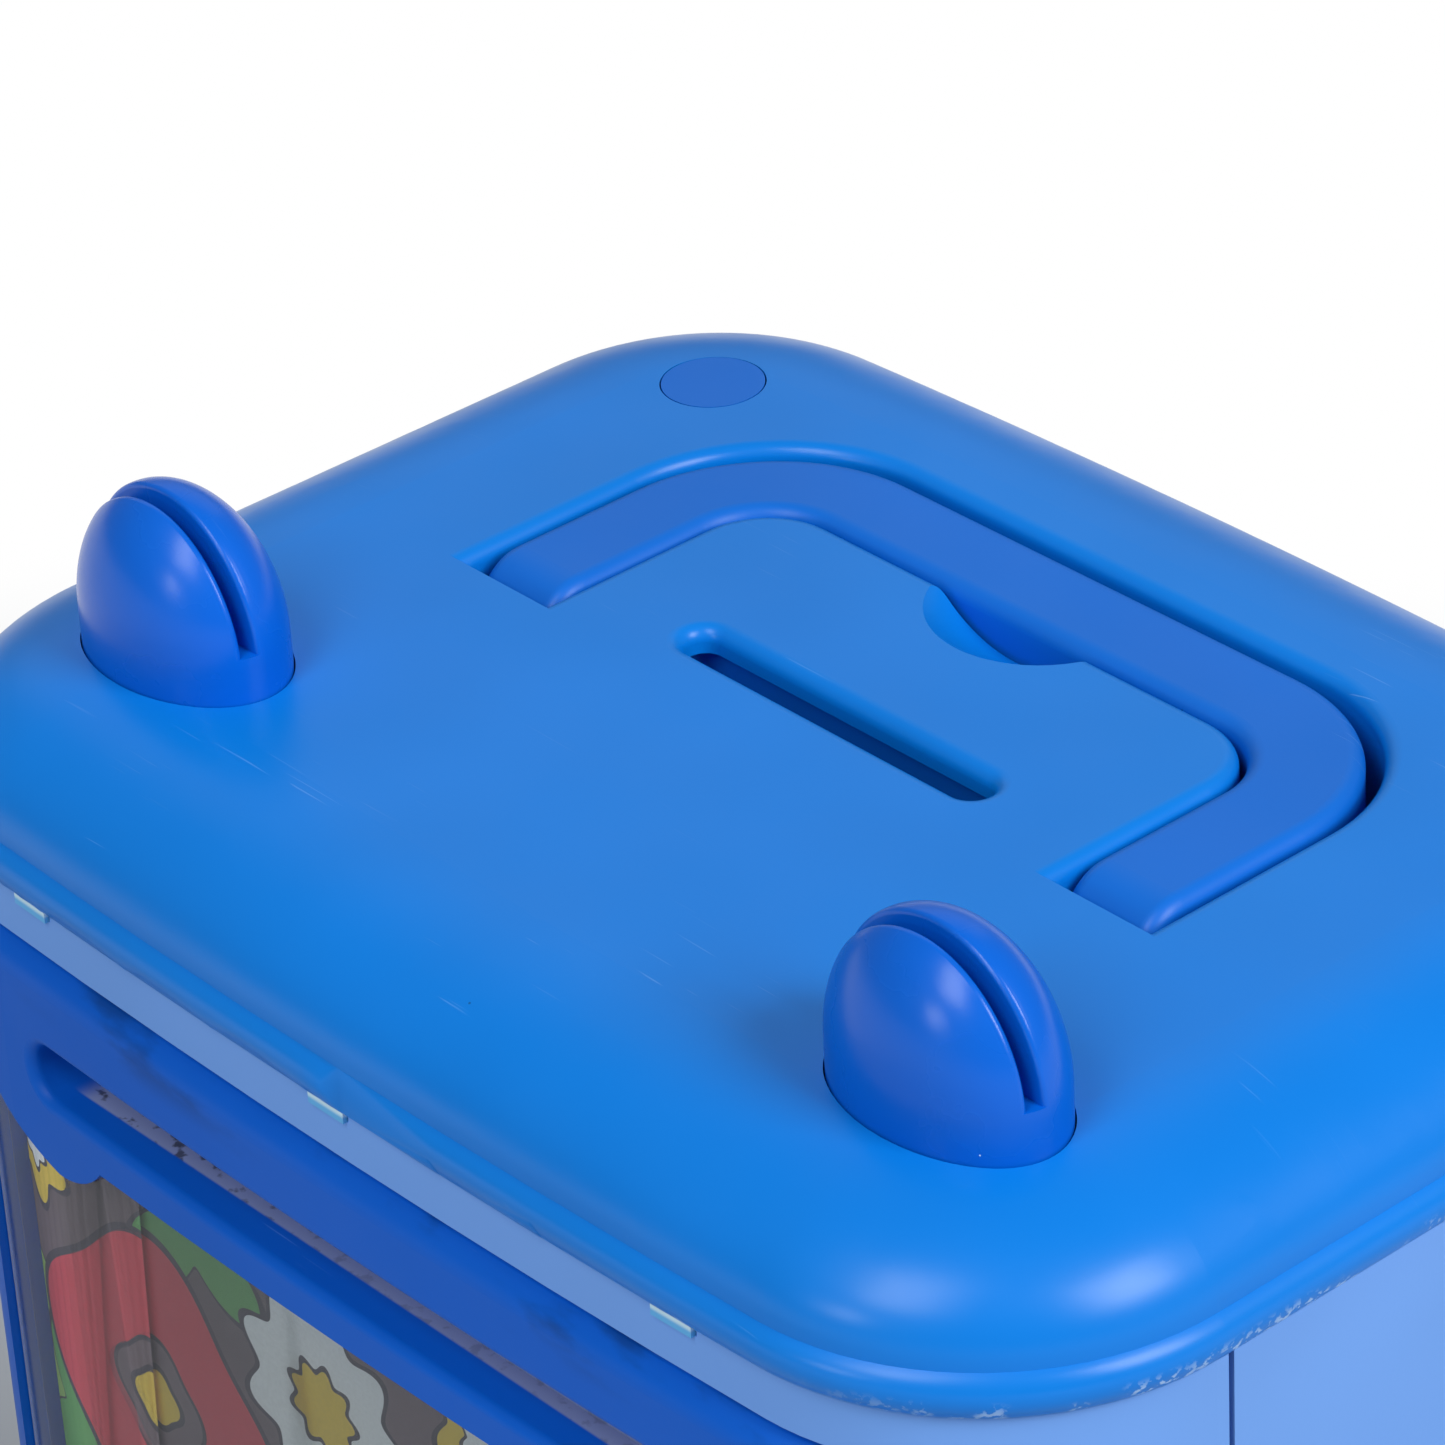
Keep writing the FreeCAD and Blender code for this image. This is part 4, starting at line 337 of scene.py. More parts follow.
def painted_clip_glints(tree, spot, colour):
    """Painted highlight: below the rim's edge there are only the clips, palest at their root, where light
    glints on them.
    """
    height = add(tree, "SeparateXYZ", {0: spot}, out="Z")
    below = add(tree, "MapRange", {0: height, 1: RIM_Z + CLIP_EDGE, 2: RIM_Z - CLIP_FULL, 4: CLIP_GLINT},
                **SMOOTH)
    root = add(tree, "MapRange", {0: height, 1: RIM_Z - CLIP_TIP, 2: RIM_Z - CLIP_ROOT}, **SMOOTH)
    pale = add(tree, "Mix", {0: root, 6: linear("#5FB4EC"), 7: linear("#D4F1FC")}, **COLOURS)
    return add(tree, "Mix", {0: below, 6: colour, 7: pale}, **COLOURS)


def lint(tree, spot, colour):
    """White lint: a small dot in some cells of a Voronoi pattern, only near the ears' foot."""
    cells = add(tree, "TexVoronoi", {"Vector": spot, "Scale": per_metre(LINT_SPACING)}).node.outputs
    chance = add(tree, "SeparateColor", {0: cells["Color"]})
    height = add(tree, "SeparateXYZ", {0: spot}, out="Z")
    low = add(tree, "MapRange", {0: height, 1: LID_TOP + LINT_TOP, 2: LID_TOP + LINT_FULL}, **SMOOTH)
    largest = LINT_SIZE / LINT_SPACING
    size = add(tree, "MapRange", {0: chance, 1: 1 - LINT_SHARE, 2: 1.0, 4: largest}, **SMOOTH)
    dot = add(tree, "Math", {0: cells["Distance"], 1: size}, **LESS)
    mask = add(tree, "Math", {0: dot, 1: low}, **PRODUCT)
    return add(tree, "Mix", {0: mask, 6: colour, 7: linear("#C9DDF4")}, **COLOURS)


# The lid's last coat is a painted highlight on its clips.
lid_abs = moulded_abs("satin_abs_lid_blue", "#047CDD", roughness=0.31,
                      coats=(specks, hairlines, rim_chips, painted_clip_glints))
ear_abs = moulded_abs("satin_abs_ear_blue", "#0264D6", roughness=0.27, gloss=0.28,
                      coats=(specks, hairlines, lint))
handle_abs = moulded_abs("satin_abs_handle_blue", "#066CD4", roughness=0.42)
dress(lid_abs, "lid")
dress(ear_abs, "ear_left", "ear_right")
dress(handle_abs, "carry_handle", "screw_plug_left", "screw_plug_right", "coin_chute")
print("rim at", round(RIM_Z / MM, 1), "mm")

# %% [markdown]
# The case halves are a paler blue with a matt, finely sparked mould texture. The door is deep blue, and its
# upper bevel has caught dark dirt, smeared along X. Grey ABS guides the notes, with crumbs of dirt on it.
# The guide lies deep in its slot, so the door's finish carries its grey a little way towards the mouth.

# %% Case and door
door_low, door_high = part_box("front_door")
guide_low, guide_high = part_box("note_guide")
SLOT_GREY = "#8E9CC6"
BEVEL = 6.0 * MM
SMEAR_SIZE = 4.5
SMEAR_STRETCH = (0.35, 1.0, 1.0)
SMEAR_DARK = 0.5
CRUMB_SIZE = 1.6
CRUMB_DARK = 0.8
CRUMBS_THICK = 15.0 * MM
CRUMBS_THIN = 0.3
LIP_DEEP = 1.5 * MM
LIP_END = 6.0 * MM
LIP_FADE = 3.0 * MM


def dirt_smears(tree, spot, colour):
    """Dark smears: noise stretched along X, kept to the bevel at the door's top edge."""
    flat = add(tree, "Mapping", {"Vector": spot, "Scale": SMEAR_STRETCH})
    height = add(tree, "SeparateXYZ", {0: spot}, out="Z")
    near = add(tree, "MapRange", {0: height, 1: door_high.z - BEVEL, 2: door_high.z - 0.3 * BEVEL},
               **SMOOTH)
    smear = add(tree, "TexNoise", {"Vector": flat, "Scale": per_metre(SMEAR_SIZE), "Detail": 4.0})
    smear = add(tree, "MapRange", {0: smear, 1: 0.5, 2: 0.68, 4: SMEAR_DARK}, **SMOOTH)
    mask = add(tree, "Math", {0: near, 1: smear}, **PRODUCT)
    return add(tree, "Mix", {0: mask, 6: colour, 7: linear("#06264F")}, **COLOURS)


def slot_dirt(tree, spot, colour):
    """Dark crumbs in the slot: fine noise cut off high, thickest towards the slot's hinge end."""
    across = add(tree, "SeparateXYZ", {0: spot}, out="X")
    near = add(tree, "MapRange", {0: across, 1: 0.0, 2: guide_low.x + CRUMBS_THICK, 3: CRUMBS_THIN},
               **SMOOTH)
    crumbs = add(tree, "TexNoise", {"Vector": spot, "Scale": per_metre(CRUMB_SIZE), "Detail": 3.0})
    crumbs = add(tree, "MapRange", {0: crumbs, 1: 0.56, 2: 0.66, 4: CRUMB_DARK}, **SMOOTH)
    mask = add(tree, "Math", {0: near, 1: crumbs}, **PRODUCT)
    return add(tree, "Mix", {0: mask, 6: colour, 7: linear("#2A2A30")}, **COLOURS)


def grey_lip(tree, spot, colour):
    """The guide's grey shows in the slot's deepest part: a box of places in front of the guide's face."""
    axes = add(tree, "SeparateXYZ", {0: spot}).node.outputs
    middle = (guide_low.z + guide_high.z) / 2
    off = add(tree, "Math", {0: axes["Z"], 1: middle}, operation="SUBTRACT")
    off = add(tree, "Math", {0: off}, operation="ABSOLUTE")
    level = add(tree, "Math", {0: off, 1: middle - guide_low.z}, **LESS)
    mouth = guide_low.y - LIP_DEEP
    deep = add(tree, "MapRange", {0: axes["Y"], 1: mouth, 2: mouth + 0.2 * LIP_DEEP}, **SMOOTH)
    side = add(tree, "Math", {0: axes["X"]}, operation="ABSOLUTE")
    end = guide_high.x - LIP_END
    side = add(tree, "MapRange", {0: side, 1: end, 2: end - LIP_FADE}, **SMOOTH)
    mask = add(tree, "Math", {0: level, 1: deep}, **PRODUCT)
    mask = add(tree, "Math", {0: mask, 1: side}, **PRODUCT)
    grey = slot_dirt(tree, spot, linear(SLOT_GREY))
    return add(tree, "Mix", {0: mask, 6: colour, 7: grey}, **COLOURS)


case_abs = moulded_abs("sparked_abs_case_blue", "#73A6F0", roughness=0.5, gloss=0.22, grain=0.4)
door_abs = moulded_abs("satin_abs_door_blue", "#0560D0", roughness=0.42, gloss=0.14,
                       coats=(specks, hairlines, dirt_smears, grey_lip))
guide_abs = moulded_abs("abs_slot_grey", SLOT_GREY, roughness=0.5, coats=(slot_dirt,))
battery_abs = moulded_abs("sparked_abs_battery_grey", "#7D89AE", roughness=0.5, grain=0.4, coats=(specks,))
dress(case_abs, "front_frame", "rear_shell", "base_plate", "battery_cover", "door_inner_cover")
dress(door_abs, "front_door", "door_knob")
dress(guide_abs, "note_guide")
dress(battery_abs, "battery_box")
print("door from", round(door_low.z / MM, 1), "to", round(door_high.z / MM, 1), "mm")

# %% [markdown]
# The window is a clear acrylic pane over a printed card. A refracting shader would stop the lamps' light on
# its way to the card, so the pane is a film: mostly see-through, with a mirror gloss that grows at a slant,
# and a thin milky haze from years of wiping. Both lie on faces that look outwards: from inside, the back
# face would turn into a full mirror. Light gathers in the pane's moulded left edge, so there the milk is
# raised: a painted glow of that light.

# %% Window pane
HAZE = 0.03
EDGE_LIGHT = 0.5
EDGE_WIDE = 2.4 * MM
WIPE_SIZE = 18.0
WIPE_TURN = (0, 0.5, 0)
WIPE_STRETCH = (2.0, 1.0, 1.0)
PANE_IOR = 1.33  # below acrylic's 1.49, because a wiped skin mirrors less
PANE_ROUGH = 0.2

pane_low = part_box("window_pane")[0]
pane_finish, tree, spot, shader = new_finish("wiped_clear_acrylic")
wipes = add(tree, "Mapping", {"Vector": spot, "Rotation": WIPE_TURN, "Scale": WIPE_STRETCH})
wipes = add(tree, "TexNoise", {"Vector": wipes, "Scale": per_metre(WIPE_SIZE), "Detail": 3.0})
wipes = add(tree, "MapRange", {0: wipes, 1: 0.25, 2: 0.75, 3: 0.85 * HAZE, 4: 1.15 * HAZE}, **SMOOTH)
across = add(tree, "SeparateXYZ", {0: spot}, out="X")
# Painted light: the milk is raised along the pane's left edge for the light gathered there.
edge = add(tree, "MapRange", {0: across, 1: pane_low.x + EDGE_WIDE, 2: pane_low.x, 4: EDGE_LIGHT}, **SMOOTH)
haze_and_edge_light = add(tree, "Math", {0: wipes, 1: edge}, operation="MAXIMUM")
inward = add(tree, "NewGeometry", out="Backfacing")
outward = add(tree, "Math", {0: 1.0, 1: inward}, operation="SUBTRACT")
haze_and_edge_light = add(tree, "Math", {0: haze_and_edge_light, 1: outward}, **PRODUCT)
slant = add(tree, "Fresnel", {"IOR": PANE_IOR})
slant = add(tree, "Math", {0: slant, 1: outward}, **PRODUCT)
clear = add(tree, "BsdfTransparent", {"Color": linear("#F8FAFA")})
milk = add(tree, "BsdfDiffuse", {"Color": linear("#DDE3E8")})
mirror = add(tree, "BsdfGlossy", {"Color": (1, 1, 1, 1), "Roughness": PANE_ROUGH})
body = add(tree, "MixShader", {0: haze_and_edge_light, 1: clear, 2: milk})
film = add(tree, "MixShader", {0: slant, 1: body, 2: mirror})
feed(tree.nodes["Material Output"], {"Surface": film})
tree.nodes.remove(shader)
dress(pane_finish, "window_pane")
print("pane haze", HAZE)

# %% [markdown]
# The card's picture is a plain meadow: poppies, daisies and buttercups over leaves and two green hills, in
# flat inks with a dark line round each shape. It could be drawn as many small meshes, but a print has no
# thickness, so the finish draws it. A flower is a rosette, a circle whose radius swells and shrinks with
# the angle. Inside it, the distance from the middle, as a share of that radius, picks the ink. Each place
# below is x, z and radius in mm, and a turn.

# %% Printed card
OUTLINE = "#3B3140"
DARK_GROUND = "#66555C"
INKS = {"red": "#D93A4C", "taupe": "#77626A", "white": "#F8FAFA", "yellow": "#F0CE3E", "green": "#96C063",
        "leaf": "#5FA656"}
POPPIES = [(-38, 112, 17.5, 0.4), (20, 96, 16.0, 1.1), (50, 129, 14.0, 0.2)]
DAISIES = [(-12, 125, 11.0, 0.1), (-47, 86, 9.5, 0.5), (38, 110, 9.0, 0.9),
           (2, 84, 8.5, 0.3)]
BUTTERCUPS = [(-20, 106, 5.2, 0.3), (-55, 131, 5.6, 1.0), (10, 133, 6.0, 0.6),
              (-24, 90, 5.0, 0.0), (48, 92, 5.4, 0.8), (27, 127, 4.8, 1.5),
              (4, 110, 4.6, 0.2)]
SPRIGS = [(-52, 102, 7.0, 0.5), (-30, 134, 7.5, 1.2), (-3, 98, 6.5, 2.0),
          (34, 84, 7.0, 0.1), (56, 110, 6.5, 2.6), (-10, 112, 5.0, 1.0),
          (40, 138, 6.5, 0.9), (-36, 82, 6.0, 1.9), (14, 117, 6.0, 0.7)]
FLOWERS = [
    (SPRIGS, 3, 0.55, [(0.90, INKS["leaf"]), (1.0, OUTLINE)]),
    (POPPIES, 4, 0.10, [(0.16, INKS["yellow"]), (0.20, OUTLINE), (0.34, INKS["taupe"]), (0.37, OUTLINE),
                        (0.95, INKS["red"]), (1.0, OUTLINE)]),
    (DAISIES, 9, 0.12, [(0.36, INKS["yellow"]), (0.42, OUTLINE), (0.93, INKS["white"]), (1.0, OUTLINE)]),
    (BUTTERCUPS, 5, 0.22, [(0.34, INKS["white"]), (0.42, OUTLINE), (0.88, INKS["yellow"]), (1.0, OUTLINE)])]
HILLS = [(118.0, 7.0, 96.0, 0.6, "green"), (92.0, 5.0, 70.0, 2.4, "leaf")]
LINE_WIDE = 0.5
GROUND_PATCH = 30.0
FIBRE = 0.4


def rosette(tree, spot, colour, place, petals, depth, rings):
    """Lay one flower over colour. Its edge is radius * (1 + depth * cos(petals * angle + turn)); rings are
    (share of that radius, ink), from the middle out, and beyond the last ring the colour stays."""
    x, z, radius, turn = place
    flat = off_axis(tree, spot, x * MM, z * MM)
    away = add(tree, "VectorMath", {0: flat}, out="Value", operation="LENGTH")
    axes = add(tree, "SeparateXYZ", {0: flat}).node.outputs
    angle = add(tree, "Math", {0: axes["Z"], 1: axes["X"]}, operation="ARCTAN2")
    phase = add(tree, "Math", {0: angle, 1: petals, 2: turn}, operation="MULTIPLY_ADD")
    wave = add(tree, "Math", {0: phase}, operation="COSINE")
    edge = add(tree, "Math", {0: wave, 1: depth * radius * MM, 2: radius * MM}, operation="MULTIPLY_ADD")
    share = add(tree, "Math", {0: away, 1: edge}, operation="DIVIDE")
    for reach, ink in reversed(rings):
        inside = add(tree, "Math", {0: share, 1: reach}, **LESS)
        colour = add(tree, "Mix", {0: inside, 6: colour, 7: linear(ink)}, **COLOURS)
    return colour


def hill(tree, spot, colour, top, swell, width, turn, ink):
    """Lay a hill over colour: all below top + swell * sin(tau * x / width + turn), with a dark top line."""
    axes = add(tree, "SeparateXYZ", {0: spot}).node.outputs
    phase = add(tree, "Math", {0: axes["X"], 1: math.tau / (width * MM), 2: turn}, operation="MULTIPLY_ADD")
    wave = add(tree, "Math", {0: phase}, operation="SINE")
    line = add(tree, "Math", {0: wave, 1: swell * MM, 2: top * MM}, operation="MULTIPLY_ADD")
    for drop, paint in ((0.0, OUTLINE), (LINE_WIDE * MM, INKS[ink])):
        lower = add(tree, "Math", {0: line, 1: drop}, operation="SUBTRACT")
        below = add(tree, "Math", {0: axes["Z"], 1: lower}, **LESS)
        colour = add(tree, "Mix", {0: below, 6: colour, 7: linear(paint)}, **COLOURS)
    return colour


card_finish, tree, spot, shader = new_finish("offset_print_on_card")
ground = add(tree, "TexNoise", {"Vector": spot, "Scale": per_metre(GROUND_PATCH)})
ground = add(tree, "MapRange", {0: ground, **MOST_NOISE}, **SMOOTH)
picture = add(tree, "Mix", {0: ground, 6: linear(DARK_GROUND), 7: linear(INKS["taupe"])}, **COLOURS)
for top, swell, width, turn, ink in HILLS:
    picture = hill(tree, spot, picture, top, swell, width, turn, ink)
for places, petals, depth, rings in FLOWERS:
    for place in places:
        picture = rosette(tree, spot, picture, place, petals, depth, rings)
fibre = add(tree, "TexNoise", {"Vector": spot, "Scale": per_metre(FIBRE), "Detail": 3.0})
fibre = add(tree, "MapRange", {0: fibre, 1: 0.2, 2: 0.8, 3: 0.9, 4: 1.0}, **SMOOTH)
printed = add(tree, "VectorMath", {0: picture, "Scale": fibre}, operation="SCALE")
feed(shader, {"Base Color": printed, "Roughness": 0.55})
dress(card_finish, "picture_card")
print(len(POPPIES + DAISIES + BUTTERCUPS + SPRIGS), "motifs on the card")

# %% [markdown]
# The twelve keys are white ABS caps, greyed by fingers, on a mat of grey silicone rubber. Rubber is dull:
# its skin has a soft grain, and it goes pale where it is rubbed. Two lamps of tinted epoxy stand beside the
# keys, with a sharp wet gloss. True depth would be lost in so small a cap, so its colour darkens to the rim
# as painted shade.

# %% Keys, mat and lamps
KEY_RUB = 6.0
KEY_GREY = 0.25
RUBBER_IOR = 1.52
RUBBER_GRAIN = 0.5
RUBBER_DEEP = 0.05 * MM
RUBBED_PATCH = 8.0
RUBBED_GREY = 0.35
EPOXY_IOR = 1.54
EPOXY_RIM_SHADE = 0.35
EPOXY_CLEAR = 0.35
LAMPS = {"led_green": "#2FBF4A", "led_red": "#D8202C"}


def finger_grime(tree, spot, colour):
    """Faint grey from fingers: soft noise of a few millimetres."""
    grime = add(tree, "TexNoise", {"Vector": spot, "Scale": per_metre(KEY_RUB), "Detail": 3.0})
    grime = add(tree, "MapRange", {0: grime, 1: 0.45, 2: 0.75, 4: KEY_GREY}, **SMOOTH)
    return add(tree, "Mix", {0: grime, 6: colour, 7: linear("#9C9A92")}, **COLOURS)


def moulded_rubber(name, colour):
    """Rubber: a dull skin with a soft grain, greyed in patches where it is rubbed."""
    material, tree, spot, shader = new_finish(name)
    rub = add(tree, "TexNoise", {"Vector": spot, "Scale": per_metre(RUBBED_PATCH), "Detail": 3.0})
    rub = add(tree, "MapRange", {0: rub, 1: 0.4, 2: 0.7, 4: RUBBED_GREY}, **SMOOTH)
    tint = add(tree, "Mix", {0: rub, 6: linear(colour), 7: linear("#55585C")}, **COLOURS)
    skin = add(tree, "TexNoise", {"Vector": spot, "Scale": per_metre(RUBBER_GRAIN)})
    skin = add(tree, "Bump", {"Strength": 0.4, "Distance": RUBBER_DEEP, "Height": skin})
    feed(shader, {"Base Color": tint, "Roughness": 0.72, "Normal": skin, "IOR": RUBBER_IOR})
    return material


def tinted_epoxy(name, colour, node):
    """A lamp's cap of clear epoxy: a sharp gloss, and painted shade that deepens its colour from its axis to
    its rim.
    """
    material, tree, spot, shader = new_finish(name)
    middle = centre(node)
    flat = off_axis(tree, spot, middle.x, middle.z)
    away = add(tree, "VectorMath", {0: flat}, out="Value", operation="LENGTH")
    # Painted shade: the colour darkens towards the cap's rim for the depth of the epoxy.
    rim = add(tree, "MapRange", {0: away, 2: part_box(node)[1].x - middle.x}, **SMOOTH)
    tint = add(tree, "Mix", {0: rim, 6: linear(colour), 7: linear(colour, EPOXY_RIM_SHADE)}, **COLOURS)
    feed(shader, {"Base Color": tint, "Roughness": 0.12, "IOR": EPOXY_IOR,
                  "Transmission Weight": EPOXY_CLEAR})
    return material


keys = [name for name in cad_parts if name.startswith("key_")]
dress(moulded_abs("satin_abs_key_white", "#E4E5E1", roughness=0.4, coats=(finger_grime,)), *keys)
dress(moulded_rubber("silicone_mat_grey", "#3C4149"), "keypad_mat")
for lamp, colour in LAMPS.items():
    dress(tinted_epoxy(lamp.replace("led", "tinted_epoxy"), colour, lamp), lamp)
print(len(keys), "keys and", len(LAMPS), "lamps")

# %% [markdown]
# Each key carries a plain printed sign. A sign could be painted by the finish, but letters have curves that
# are easier as geometry: Blender's own font, made a mesh, turned to face the front and projected onto its
# key, so that it follows the key's bend.

# %% Signs on the keys
SIGNS = {"1": "1", "2": "2", "3": "3", "4": "4", "5": "5", "6": "6", "7": "7", "8": "8", "9": "9",
         "clear": "*", "0": "0", "enter": "#"}
SIGN_SIZE = 7.0 * MM
SIGN_AWAY = 1.0 * MM
INK_THICK = 0.03 * MM


def key_sign(key, sign, ink):
    """A sign's mesh, centred, turned by 90 degrees about X to face -Y, and projected onto its key."""
    middle = centre("key_" + key)
    middle.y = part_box("key_" + key)[0].y - SIGN_AWAY
    font = bpy.data.curves.new("sign", "FONT")
    font.body = sign
    font.size = SIGN_SIZE
    letters = bpy.data.meshes.new_from_object(bpy.data.objects.new("sign", font))
    points = np.empty(3 * len(letters.vertices), dtype=np.float32)
    letters.vertices.foreach_get("co", points)
    points = points.reshape(-1, 3)
    points -= (points.min(axis=0) + points.max(axis=0)) / 2
    letters.vertices.foreach_set("co", points.ravel())
    letters.transform(Matrix.Translation(middle) @ Matrix.Rotation(math.pi / 2, 4, "X"))
    piece = bpy.data.objects.new("key_sign_" + key, letters)
    scene.collection.objects.link(piece)
    lay = piece.modifiers.new("lay", "SHRINKWRAP")
    lay.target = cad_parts["key_" + key]
    lay.wrap_method = "PROJECT"
    lay.use_project_y = True
    lay.offset = INK_THICK
    bpy.context.view_layer.update()
    laid = bpy.data.meshes.new_from_object(piece.evaluated_get(bpy.context.evaluated_depsgraph_get()))
    piece.modifiers.clear()
    piece.data = laid
    laid.materials.clear()
    laid.materials.append(ink)
    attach(piece, "body_key_" + key)
    return piece


sign_ink = moulded_abs("pad_print_ink_blue", "#1B4FA8", roughness=0.5, coats=())
for key, sign in SIGNS.items():
    key_sign(key, sign, sign_ink)
print(len(SIGNS), "signs laid on the keys")

# %% [markdown]
# Pins, screws, the latch and the clips of the batteries are steel. Zinc plate is a little blue and cloudy,
# and drawn or rolled steel keeps fine lines along its length, here as wide as the render can show. Feet and
# rollers are black rubber, and the gears are acetal, a milky white plastic.

# %% Metal, rubber and gears
STEEL_CLOUD = 3.0
DRAWN_LINE = 0.15
DRAWN_STRETCH = 20
CLOUD_DARK = 0.75


def plated_steel(name, colour, roughness, along):
    """Steel: the colour tints its mirror, clouds of plating darken it, and lines along an axis dull it."""
    material, tree, spot, shader = new_finish(name)
    thin = tuple(per_metre(DRAWN_STRETCH * DRAWN_LINE if axis == along else DRAWN_LINE) for axis in "XYZ")
    lines = add(tree, "Mapping", {"Vector": spot, "Scale": thin})
    lines = add(tree, "TexNoise", {"Vector": lines, "Scale": 1.0, "Detail": 2.0})
    cloud = add(tree, "TexNoise", {"Vector": spot, "Scale": per_metre(STEEL_CLOUD), "Detail": 3.0})
    tint = add(tree, "Mix", {0: cloud, 6: linear(colour, CLOUD_DARK), 7: linear(colour)}, **COLOURS)
    rough = add(tree, "MapRange", {0: lines, 1: 0.2, 2: 0.8, 3: roughness - 0.08, 4: roughness + 0.12})
    feed(shader, {"Base Color": tint, "Metallic": 1.0, "Roughness": rough})
    return material


zinc = plated_steel("zinc_plated_steel", "#C3C9CE", 0.30, "Z")
drawn = plated_steel("drawn_steel_pin", "#C8C6C2", 0.22, "X")
nickel = plated_steel("nickel_plated_spring_steel", "#CFC9BC", 0.2, "Y")
can_steel = plated_steel("blackened_steel_can", "#4A4C50", 0.38, "X")
black_rubber = moulded_rubber("black_rubber", "#1B1C1E")
acetal = moulded_abs("machined_acetal_white", "#E3E0D6", roughness=0.45, gloss=0.4, coats=(finger_grime,))
dress(zinc, "lid_screws", "base_screws", "cover_screws", "battery_cover_screw", "board_screws", "latch_cam",
      "hinge_pin_lower", "hinge_pin_upper", "roller_bracket_left", "roller_bracket_right")
dress(drawn, "handle_pin_left", "handle_pin_right", "solenoid_plunger", "knob_spindle")
dress(nickel, "battery_contacts")
dress(can_steel, "feed_motor", "solenoid_body")
dress(black_rubber, "rubber_feet", "drive_roller", "idler_roller")
dress(acetal, "drive_gear", "motor_pinion")
print("steel lines every", DRAWN_LINE, "mm")

# %% [markdown]
# A circuit board is glass cloth in epoxy under green lacquer. Copper tracks show as paler green lines, and
# bare solder as grey dots on a grid of a tenth of an inch. Parallel lines come from the distance to the
# nearest step of that grid, and broad noise says where they run across and where they run up.

# %% Circuit boards
GRID = 2.54 * MM
TRACK_WIDE = 0.45 * MM
PAD_SIZE = 0.75 * MM
TRACK_AREA = 14.0
PAD_AREA = 5.0
BOARD_IOR = 1.55

board_finish, tree, spot, shader = new_finish("lacquered_glass_epoxy_board")
axes = add(tree, "SeparateXYZ", {0: spot}).node.outputs
gap_x = add(tree, "Math", {0: axes["X"], 1: GRID / 2}, operation="PINGPONG")
gap_z = add(tree, "Math", {0: axes["Z"], 1: GRID / 2}, operation="PINGPONG")
upward = add(tree, "Math", {0: gap_x, 1: TRACK_WIDE / 2}, **LESS)
across = add(tree, "Math", {0: gap_z, 1: TRACK_WIDE / 2}, **LESS)
area = add(tree, "TexNoise", {"Vector": spot, "Scale": per_metre(TRACK_AREA)})
area = add(tree, "Math", {0: area, 1: 0.5}, **LESS)
tracks = add(tree, "Mix", {0: area, 2: upward, 3: across})
tint = add(tree, "Mix", {0: tracks, 6: linear("#12603A"), 7: linear("#2E8A52")}, **COLOURS)
pad = add(tree, "CombineXYZ", {0: gap_x, 1: gap_z})
pad = add(tree, "VectorMath", {0: pad}, out="Value", operation="LENGTH")
pad = add(tree, "Math", {0: pad, 1: PAD_SIZE / 2}, **LESS)
some = add(tree, "TexNoise", {"Vector": spot, "Scale": per_metre(PAD_AREA)})
some = add(tree, "Math", {0: some, 1: 0.46}, **LESS)
pad = add(tree, "Math", {0: pad, 1: some}, **PRODUCT)
tint = add(tree, "Mix", {0: pad, 6: tint, 7: linear("#B9BDB8")}, **COLOURS)
feed(shader, {"Base Color": tint, "Metallic": pad, "Roughness": 0.3, "IOR": BOARD_IOR})
dress(board_finish, "main_board", "keypad_board")
print("tracks on a grid of", round(GRID / MM, 2), "mm")

# %% [markdown]
# The parts on the main board stand on its inner side. Bevelled boxes would do, but one formula gives boxes
# and cans alike. Each is a superellipsoid: sines and cosines of two angles raised to a small power, which
# squares them. A power of 1 in plan leaves it round, as the capacitors' cans are. Sizes are in mm.

# %% Parts on the main board
BOARD_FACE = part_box("main_board")[1].y
SQUARE = 0.14
OVAL = 0.5
ROUND = 1.0
RISE_STEPS = 14
TURN_STEPS = 32
CHIP_X = -30
CHIP_Z = 62
LEG_STEP = 1.27
LEG_FIRST = CHIP_X - 4.5
LEG_ROWS = (CHIP_Z - 7.8, CHIP_Z + 7.8)


def signed_power(values, power):
    """Values raised to a power, with their sign kept."""
    return np.sign(values) * np.abs(values) ** power


def rounded_block(size, plan_power):
    """Grid of a superellipsoid about +Y: x = a C(rise) c(turn), z = b C(rise) s(turn), y = h S(rise), where
    C and S are squared strongly and c and s by the power that the plan asks for."""
    rise = np.linspace(-math.pi / 2, math.pi / 2, RISE_STEPS)[1:-1, None]
    turn = np.linspace(0, math.tau, TURN_STEPS, endpoint=False)[None, :]
    ring = signed_power(np.cos(rise), SQUARE)
    x = ring * signed_power(np.cos(turn), plan_power)
    z = ring * signed_power(np.sin(turn), plan_power)
    y = signed_power(np.sin(rise), SQUARE) * np.ones_like(turn)
    return np.stack([x, y, z], axis=-1) * np.array(size) / 2 * MM


